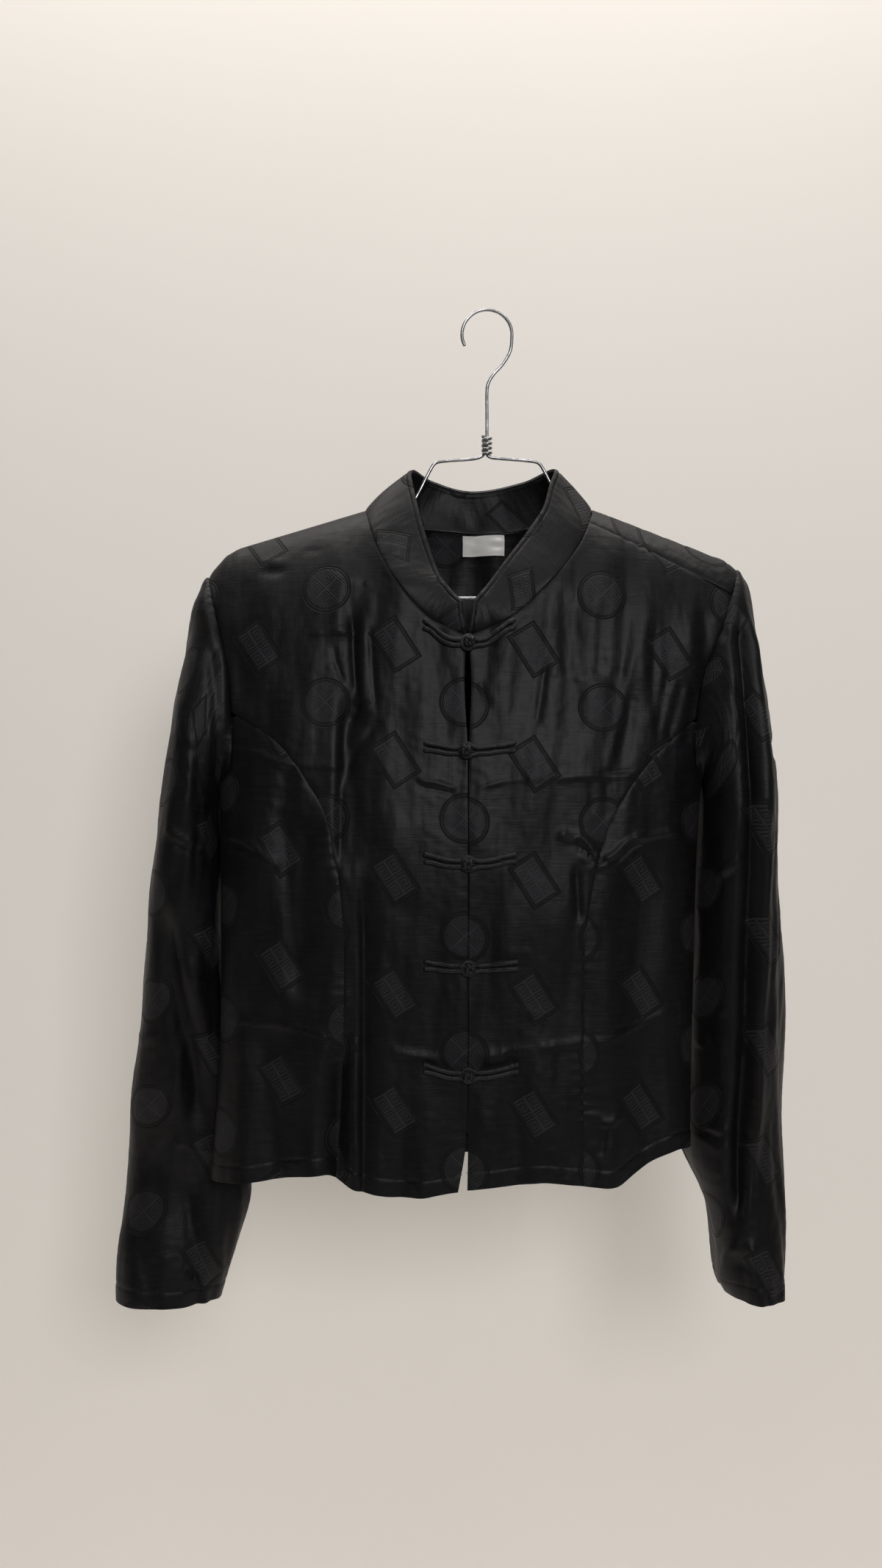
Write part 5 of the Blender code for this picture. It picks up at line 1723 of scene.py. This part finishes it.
@dataclass(frozen=True)
class Silk(Finish):
    """Black silk jacquard. Its woven figures are real; their lighter colour is painted sheen, and their frame
    lines carry painted shade.
    """

    ground: Quad = (0.0020, 0.0018, 0.0024, 1.0)
    thread: Quad = (0.0056, 0.0051, 0.0064, 1.0)
    # painted sheen: the woven figures' fret strokes, lighter than the black thread they are woven in
    figure: Quad = (0.0190, 0.0180, 0.0205, 1.0)
    # painted shade in the figures' sunken frame lines
    sunken: Quad = (0.0008, 0.0008, 0.0009, 1.0)

    def make(self, figures: Tree, weave: Tree) -> Material:
        """The material, from the figure and weave groups."""
        material, graph, shader = self.start()
        place = graph.cloth()
        drawn = graph.node("ShaderNodeGroup", node_tree=figures)
        woven = graph.node("ShaderNodeGroup", node_tree=weave)
        for node in (drawn, woven):
            graph.feed(node.inputs["Place"], place)
        line, fret, field = (drawn.outputs[key] for key in ("Outline", "Fret", "Field"))
        tone = woven.outputs["Tone"]
        colour = graph.blend(tone, self.ground, self.thread)
        # Painted sheen: the fret strokes, and faintly the whole figure, take the lighter figure colour
        lit = graph.total((field, 0.10), (fret, 0.90))
        colour = graph.blend(lit, colour, self.figure)
        # Painted shade: the sunken frame lines take the darker sunken colour
        graph.feed(shader.inputs["Base Color"], graph.blend(line, colour, self.sunken))
        matt = graph.total((lit, 0.07), (tone, 0.06), (line, 0.20))
        graph.feed(shader.inputs["Roughness"], graph.math("ADD", matt, self.roughness - 0.03))
        height = graph.total((woven.outputs["Height"], 0.75), (fret, 0.45), (line, -0.55))
        self.bump(graph, shader, height, 0.00050)
        return material


@dataclass(frozen=True)
class Cord(Finish):
    """Bias strip of the same silk sewn into a cord."""

    def make(self, weave: Tree) -> Material:
        """The material, its threads running askew round the cord."""
        material, graph, shader = self.start()
        askew = graph.turned(graph.cloth(), 0.75)
        woven = graph.node("ShaderNodeGroup", {"Place": askew, "Weft": 2200.0}, node_tree=weave)
        colour = graph.blend(woven.outputs["Tone"], (0.0060, 0.0058, 0.0064, 1.0),
                             (0.0130, 0.0125, 0.0135, 1.0))
        graph.feed(shader.inputs["Base Color"], colour)
        rough = graph.ramp(woven.outputs["Tone"], 0.0, 1.0, self.roughness - 0.05, self.roughness + 0.08)
        graph.feed(shader.inputs["Roughness"], rough)
        self.bump(graph, shader, woven.outputs["Height"], 0.00022)
        return material


@dataclass(frozen=True)
class Satin(Finish):
    """White satin ribbon of the label."""

    def make(self, weave: Tree) -> Material:
        """The material."""
        material, graph, shader = self.start()
        woven = graph.node("ShaderNodeGroup", {"Place": graph.cloth(), "Weft": 2600.0}, node_tree=weave)
        colour = graph.blend(woven.outputs["Tone"], (0.74, 0.73, 0.68, 1.0), (0.86, 0.85, 0.80, 1.0))
        graph.feed(shader.inputs["Base Color"], colour)
        graph.feed(shader.inputs["Roughness"],
                   graph.ramp(woven.outputs["Tone"], 0.0, 1.0, self.roughness - 0.06, self.roughness + 0.06))
        self.bump(graph, shader, woven.outputs["Height"], 0.00012)
        return material


@dataclass(frozen=True)
class Wire(Finish):
    """Galvanised steel wire, drawn and a little clouded."""

    def make(self) -> Material:
        """The material, with draw lines along the wire and zinc spangle."""
        material, graph, shader = self.start()
        lines = graph.noise(graph.vector("MULTIPLY", graph.cloth(), (1.0, 0.02, 1.0)), 4200.0, 2.0)
        worn = graph.ramp(graph.noise(graph.solid(), 260.0, 4.0), 0.35, 0.68)
        graph.feed(shader.inputs["Base Color"],
                   graph.blend(worn, (0.44, 0.44, 0.44, 1.0), (0.25, 0.25, 0.26, 1.0)))
        graph.feed(shader.inputs["Roughness"],
                   graph.ramp(worn, 0.0, 1.0, self.roughness, self.roughness + 0.18))
        self.bump(graph, shader, lines, 0.00003)
        return material


@dataclass(frozen=True)
class Thread(Finish):
    """Sewing thread."""

    shade: Triple = (0.005, 0.005, 0.0055)

    def make(self) -> Material:
        """The material, with a fine uneven lustre."""
        material, graph, shader = self.start()
        fibre = graph.noise(graph.solid(), 3500.0, 2.0)
        light = tuple(1.9 * c for c in self.shade)
        graph.feed(shader.inputs["Base Color"],
                   graph.blend(fibre, (*self.shade, 1.0), (*light, 1.0)))
        graph.feed(shader.inputs["Roughness"],
                   graph.ramp(fibre, 0.3, 0.7, self.roughness - 0.08, self.roughness + 0.08))
        return material


@dataclass(frozen=True)
class Stitching:
    """Rows of stitches, laid by Geometry Nodes along lines on the cloth."""

    length: float = 0.0024
    gap: float = 0.0013
    thread: float = 0.00022

    def tree(self, finish: Material) -> Tree:
        """The node tree: lines in, small rounded stitches out."""
        tree = bpy.data.node_groups.new("stitch_rows", "GeometryNodeTree")
        tree.interface.new_socket("Lines", in_out="INPUT", socket_type="NodeSocketGeometry")
        for name, value in (("Length", self.length), ("Gap", self.gap), ("Thread", self.thread)):
            socket = tree.interface.new_socket(name, in_out="INPUT", socket_type="NodeSocketFloat")
            socket.default_value = value
        tree.interface.new_socket("Stitches", in_out="OUTPUT", socket_type="NodeSocketGeometry")
        graph = Graph(tree)
        inside = graph.node("NodeGroupInput").outputs
        curve = graph.node("GeometryNodeMeshToCurve", {"Mesh": inside["Lines"]}).outputs[0]
        pitch = graph.math("ADD", inside["Length"], inside["Gap"])
        even = graph.node("GeometryNodeResampleCurve", {"Curve": curve, "Length": pitch}, mode="LENGTH")
        tangent = graph.node("GeometryNodeInputTangent").outputs[0]
        turn = graph.node("FunctionNodeAlignRotationToVector", {"Vector": tangent}, axis="X").outputs[0]
        bead = graph.node("GeometryNodeMeshUVSphere", {"Segments": 8, "Rings": 6, "Radius": 1.0}).outputs[0]
        half = graph.math("MULTIPLY", inside["Length"], 0.5)
        thick = inside["Thread"]
        size = graph.node("ShaderNodeCombineXYZ", {0: half, 1: thick, 2: thick}).outputs[0]
        laid = graph.node("GeometryNodeInstanceOnPoints", {
            "Points": even.outputs[0], "Instance": bead, "Rotation": turn, "Scale": size}).outputs[0]
        real = graph.node("GeometryNodeRealizeInstances", {"Geometry": laid}).outputs[0]
        dressed = graph.node("GeometryNodeSetMaterial", {"Geometry": real, "Material": finish}).outputs[0]
        graph.node("NodeGroupOutput", {0: dressed})
        return tree

    def sew(self, name: str, lines: Sequence[Array], finish: Material) -> Object:
        """Stitches along lines, as a plain mesh.

        Args:
            name: of the piece.
            lines: (n, 3) places of each row.
            finish: of the thread.

        Returns:
            The piece.
        """
        start = bpy.data.meshes.new("rows")
        vertices, edges = [], []
        for line in lines:
            first = len(vertices)
            vertices += [tuple(point) for point in line]
            edges += [(first + k, first + k + 1) for k in range(len(line) - 1)]
        start.from_pydata(vertices, edges, [])
        guide = placed("rows", start)
        modifier = guide.modifiers.new("stitches", "NODES")
        modifier.node_group = self.tree(finish)
        values = {"Length": self.length, "Gap": self.gap, "Thread": self.thread}
        for item in modifier.node_group.interface.items_tree:
            if item.in_out == "INPUT" and item.name in values:
                modifier[item.identifier] = values[item.name]
        ready = guide.evaluated_get(bpy.context.evaluated_depsgraph_get())
        data = bpy.data.meshes.new_from_object(ready)
        data.name = name
        data.shade_smooth()
        bpy.data.objects.remove(guide)
        return placed(name, data)


@dataclass(frozen=True)
class Studio:
    """Camera, lamps, wall and floor."""

    eye: Triple = (-0.03625, -1.0, -0.3729)
    lens: float = 29.1
    wall_y: float = 0.34
    floor_z: float = -1.45
    paint: Triple = (0.84, 0.80, 0.74)
    glow: float = 0.16              # of the paint, so that no lamp need light the wall strongly

    def camera(self) -> None:
        """Level camera, square to the garment."""
        data = bpy.data.cameras.new("camera")
        data.lens, data.sensor_width, data.sensor_fit = self.lens, 36.0, "AUTO"
        data.clip_start, data.clip_end = 0.02, 30.0
        camera = placed("camera", data)
        camera.location, camera.rotation_euler = self.eye, (math.pi / 2, 0.0, 0.0)
        bpy.context.scene.camera = camera

    def lamp(self, name: str, place: Triple, aim: Triple,
             size: Pair, power: float, tint: Triple) -> None:
        """Soft rectangular lamp.

        Args:
            name: of the lamp.
            place, aim: where it stands and what it faces.
            size: width and height.
            power: in watts.
            tint: its colour.
        """
        data = bpy.data.lights.new(name, "AREA")
        data.shape, data.size, data.size_y, data.energy, data.color = "RECTANGLE", *size, power, tint
        lamp = placed(name, data)
        lamp.location = place
        lamp.rotation_euler = (Vector(aim) - Vector(place)).to_track_quat("-Z", "Y").to_euler()

    def lamps(self) -> None:
        """Key lamp above in front, weak fills, a wash on the wall and a pale surround."""
        self.lamp("key", (0.45, -2.2, 0.30), (0.0, 0.0, -0.42), (0.8, 0.7), 24.0, (0.98, 0.97, 1.0))
        self.lamp("top", (-0.50, -1.1, 1.35), (0.0, 0.0, -0.35), (0.9, 0.6), 3.0, (1.0, 0.98, 0.95))
        self.lamp("fill", (-1.9, -1.7, -0.1), (0.0, 0.0, -0.45), (0.7, 1.2), 0.7, (0.97, 0.98, 1.0))
        self.lamp("wash", (0.0, 0.05, 1.30), (0.0, 0.34, -0.20), (2.2, 0.4), 25.0, (1.0, 0.97, 0.93))
        self.lamp("behind", (0.35, 2.1, 0.55), (0.0, 0.0, -0.42), (0.9, 0.7), 24.0, (0.98, 0.97, 1.0))
        world = bpy.data.worlds.new("surround")
        world.use_nodes = True
        graph = Graph(world.node_tree)
        shown = graph.node("ShaderNodeLightPath").outputs["Is Camera Ray"]
        air = world.node_tree.nodes["Background"]
        air.inputs["Color"].default_value = (0.80, 0.79, 0.77, 1.0)
        graph.feed(air.inputs["Strength"], graph.ramp(shown, 0.0, 1.0, 0.05, 0.92))
        bpy.context.scene.world = world
        bpy.context.scene.view_settings.view_transform = "Standard"

    def paintwork(self) -> Material:
        """Matt paint of wall and floor, clear from behind and to the lamps."""
        material = bpy.data.materials.new("matt_paint")
        material.use_nodes = True
        graph = Graph(material.node_tree)
        shader = material.node_tree.nodes["Principled BSDF"]
        shader.inputs["Roughness"].default_value = 0.9
        shader.inputs["Specular IOR Level"].default_value = 0.15
        cloud = graph.noise(graph.solid(), 3.0, 3.0)
        darker = tuple(0.96 * c for c in self.paint)
        graph.feed(shader.inputs["Base Color"], graph.blend(cloud, (*darker, 1.0), (*self.paint, 1.0)))
        shader.inputs["Emission Color"].default_value = (*self.paint, 1.0)
        shader.inputs["Emission Strength"].default_value = self.glow
        clear = graph.node("ShaderNodeBsdfTransparent").outputs[0]
        behind = graph.node("ShaderNodeNewGeometry").outputs["Backfacing"]
        unseen = graph.node("ShaderNodeLightPath").outputs["Is Shadow Ray"]
        behind = graph.math("MAXIMUM", behind, unseen)
        mixed = graph.node("ShaderNodeMixShader", {0: behind, 1: shader.outputs[0], 2: clear}).outputs[0]
        graph.feed(material.node_tree.nodes["Material Output"].inputs["Surface"], mixed)
        return material

    def room(self) -> None:
        """Wall behind and floor below."""
        paint = self.paintwork()
        y, z = self.wall_y, self.floor_z
        sides = {"wall": [(-3.0, y, z), (3.0, y, z), (3.0, y, 2.2), (-3.0, y, 2.2)],
                 "floor": [(-3.0, -0.9, z), (3.0, -0.9, z), (3.0, y, z), (-3.0, y, z)]}
        for name, corners in sides.items():
            data = bpy.data.meshes.new(name)
            data.from_pydata(corners, [], [(0, 1, 2, 3)])
            data.materials.append(paint)
            placed(name, data)


@dataclass
class Dresser:
    """Gives each piece its finish and its place in the frame."""

    wire: Object
    count: int = 0

    def put(self, piece: Object, node: str | None, slot: str,
            finish: Material | None = None) -> Object:
        """Dress one piece.

        Args:
            piece: the object.
            node: the plain solid it stands for.
            slot: the finish slot of the record.
            finish: its material, where it has none yet.

        Returns:
            The piece.
        """
        if finish:
            piece.data.materials.append(finish)
        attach(piece, "root")
        if node:
            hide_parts(node)
        self.count += 1
        LOG.info("%s: %d faces, %s", piece.name, len(piece.data.polygons), slot)
        return piece

    def cloth(self, sheet: Sheet, slot: str, finish: Material) -> Object:
        """Build a sheet and dress it."""
        piece = self.put(sheet.build(), sheet.name, slot, finish)
        return piece


def spread(low: float, high: float, points: Array, axis: int) -> Array:
    """The run of a row of points that lies between two values of one axis."""
    return points[(points[:, axis] >= low) & (points[:, axis] <= high)]


STITCH_LIFT = -0.00002                 # stitches lie a little in the cloth
FROGS = (
    # x, z, reach to the right and to the left, rise of the outer ends
    (-0.0162, -0.2665, 0.0345, 0.0365, 0.0140),
    (-0.0165, -0.3480, 0.0335, 0.0375, 0.0030),
    (-0.0160, -0.4320, 0.0335, 0.0370, 0.0045),
    (-0.0160, -0.5100, 0.0340, 0.0380, 0.0025),
    (-0.0160, -0.5905, 0.0345, 0.0390, 0.0055),
)


def main() -> None:
    """Build the garment on its hanger, then the studio."""
    logging.basicConfig(level=logging.INFO, format="%(message)s")
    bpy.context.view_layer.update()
    figures, weave = fret_figures(), slub_weave()
    silk = Silk("silk_jacquard", "silk_jacquard", 0.49, sheen=0.005, specular=0.22).make(figures, weave)
    cord = Cord("frog_cord", "frog_cord", 0.46, sheen=0.03, specular=0.26).make(weave)
    satin = Satin("label_satin", "label_satin", 0.34, sheen=0.15).make(weave)
    zinc = Wire("galvanised_wire", "galvanised_wire", 0.24, metallic=1.0).make()
    thread = Thread("sewing_thread", "silk_jacquard", 0.45, specular=0.4).make()

    dresser = Dresser(Hanger().build())
    dresser.put(dresser.wire, "hanger_wire", "galvanised_wire", zinc)
    form = BodyForm()
    cut = Cut(form)
    panels = BodyPanels(cut)
    sheets = [*panels.fronts(True), *panels.fronts(False), panels.back()]
    sheets.append(Sleeve("sleeve_right", cut, True, SLEEVE_RIGHT, SLEEVE_RIGHT_FOLDS, SLEEVE_BACK_RIGHT,
                         (0.086, -0.336)).sheet())
    sheets.append(Sleeve("sleeve_left", cut, False, SLEEVE_LEFT, SLEEVE_LEFT_FOLDS, SLEEVE_BACK_LEFT,
                         (-0.048, -0.330)).sheet())
    sheets.append(Collar(cut).sheet())
    for sheet in sheets:
        dresser.cloth(sheet, "silk_jacquard", silk)
    label = Label(form).sheet()
    dresser.cloth(label, "label_satin", satin)
    for number, sizes in enumerate(FROGS, 1):
        frog = Frog(form, number, *sizes)
        dresser.put(frog.button(), f"frog_{number}_button", "frog_cord", cord)
        dresser.put(frog.loop_half(), f"frog_{number}_loop", "frog_cord", cord)
        dresser.put(frog.ball(), f"frog_{number}_knot", "frog_cord", cord)

    hems = [sheet.row(0, MAKE.hem_depth, STITCH_LIFT) for sheet in sheets[:5]]
    cuffs = [sheet.row(1, MAKE.hem_depth, STITCH_LIFT) for sheet in sheets[5:7]]
    front = spread(-0.470, -0.268, sheets[0].row(3, 0.0120, STITCH_LIFT), 2)
    dresser.put(Stitching().sew("hem_stitches", hems, thread), None, "silk_jacquard")
    dresser.put(Stitching().sew("cuff_stitches", cuffs, thread), None, "silk_jacquard")
    dresser.put(Stitching().sew("front_edge_stitches", [front], thread), None, "silk_jacquard")
    pale = Thread("label_thread", "label_satin", 0.45, shade=(0.45, 0.44, 0.40)).make()
    ends = [label.row(side, 0.0012, 0.0) for side in (2, 3)]
    dresser.put(Stitching(0.0014, 0.0009, 0.00014).sew("label_stitches", ends, pale), None, "label_satin")

    studio = Studio()
    studio.camera()
    studio.lamps()
    studio.room()
    LOG.info("%d pieces", dresser.count)


if __name__ == "__main__":
    main()
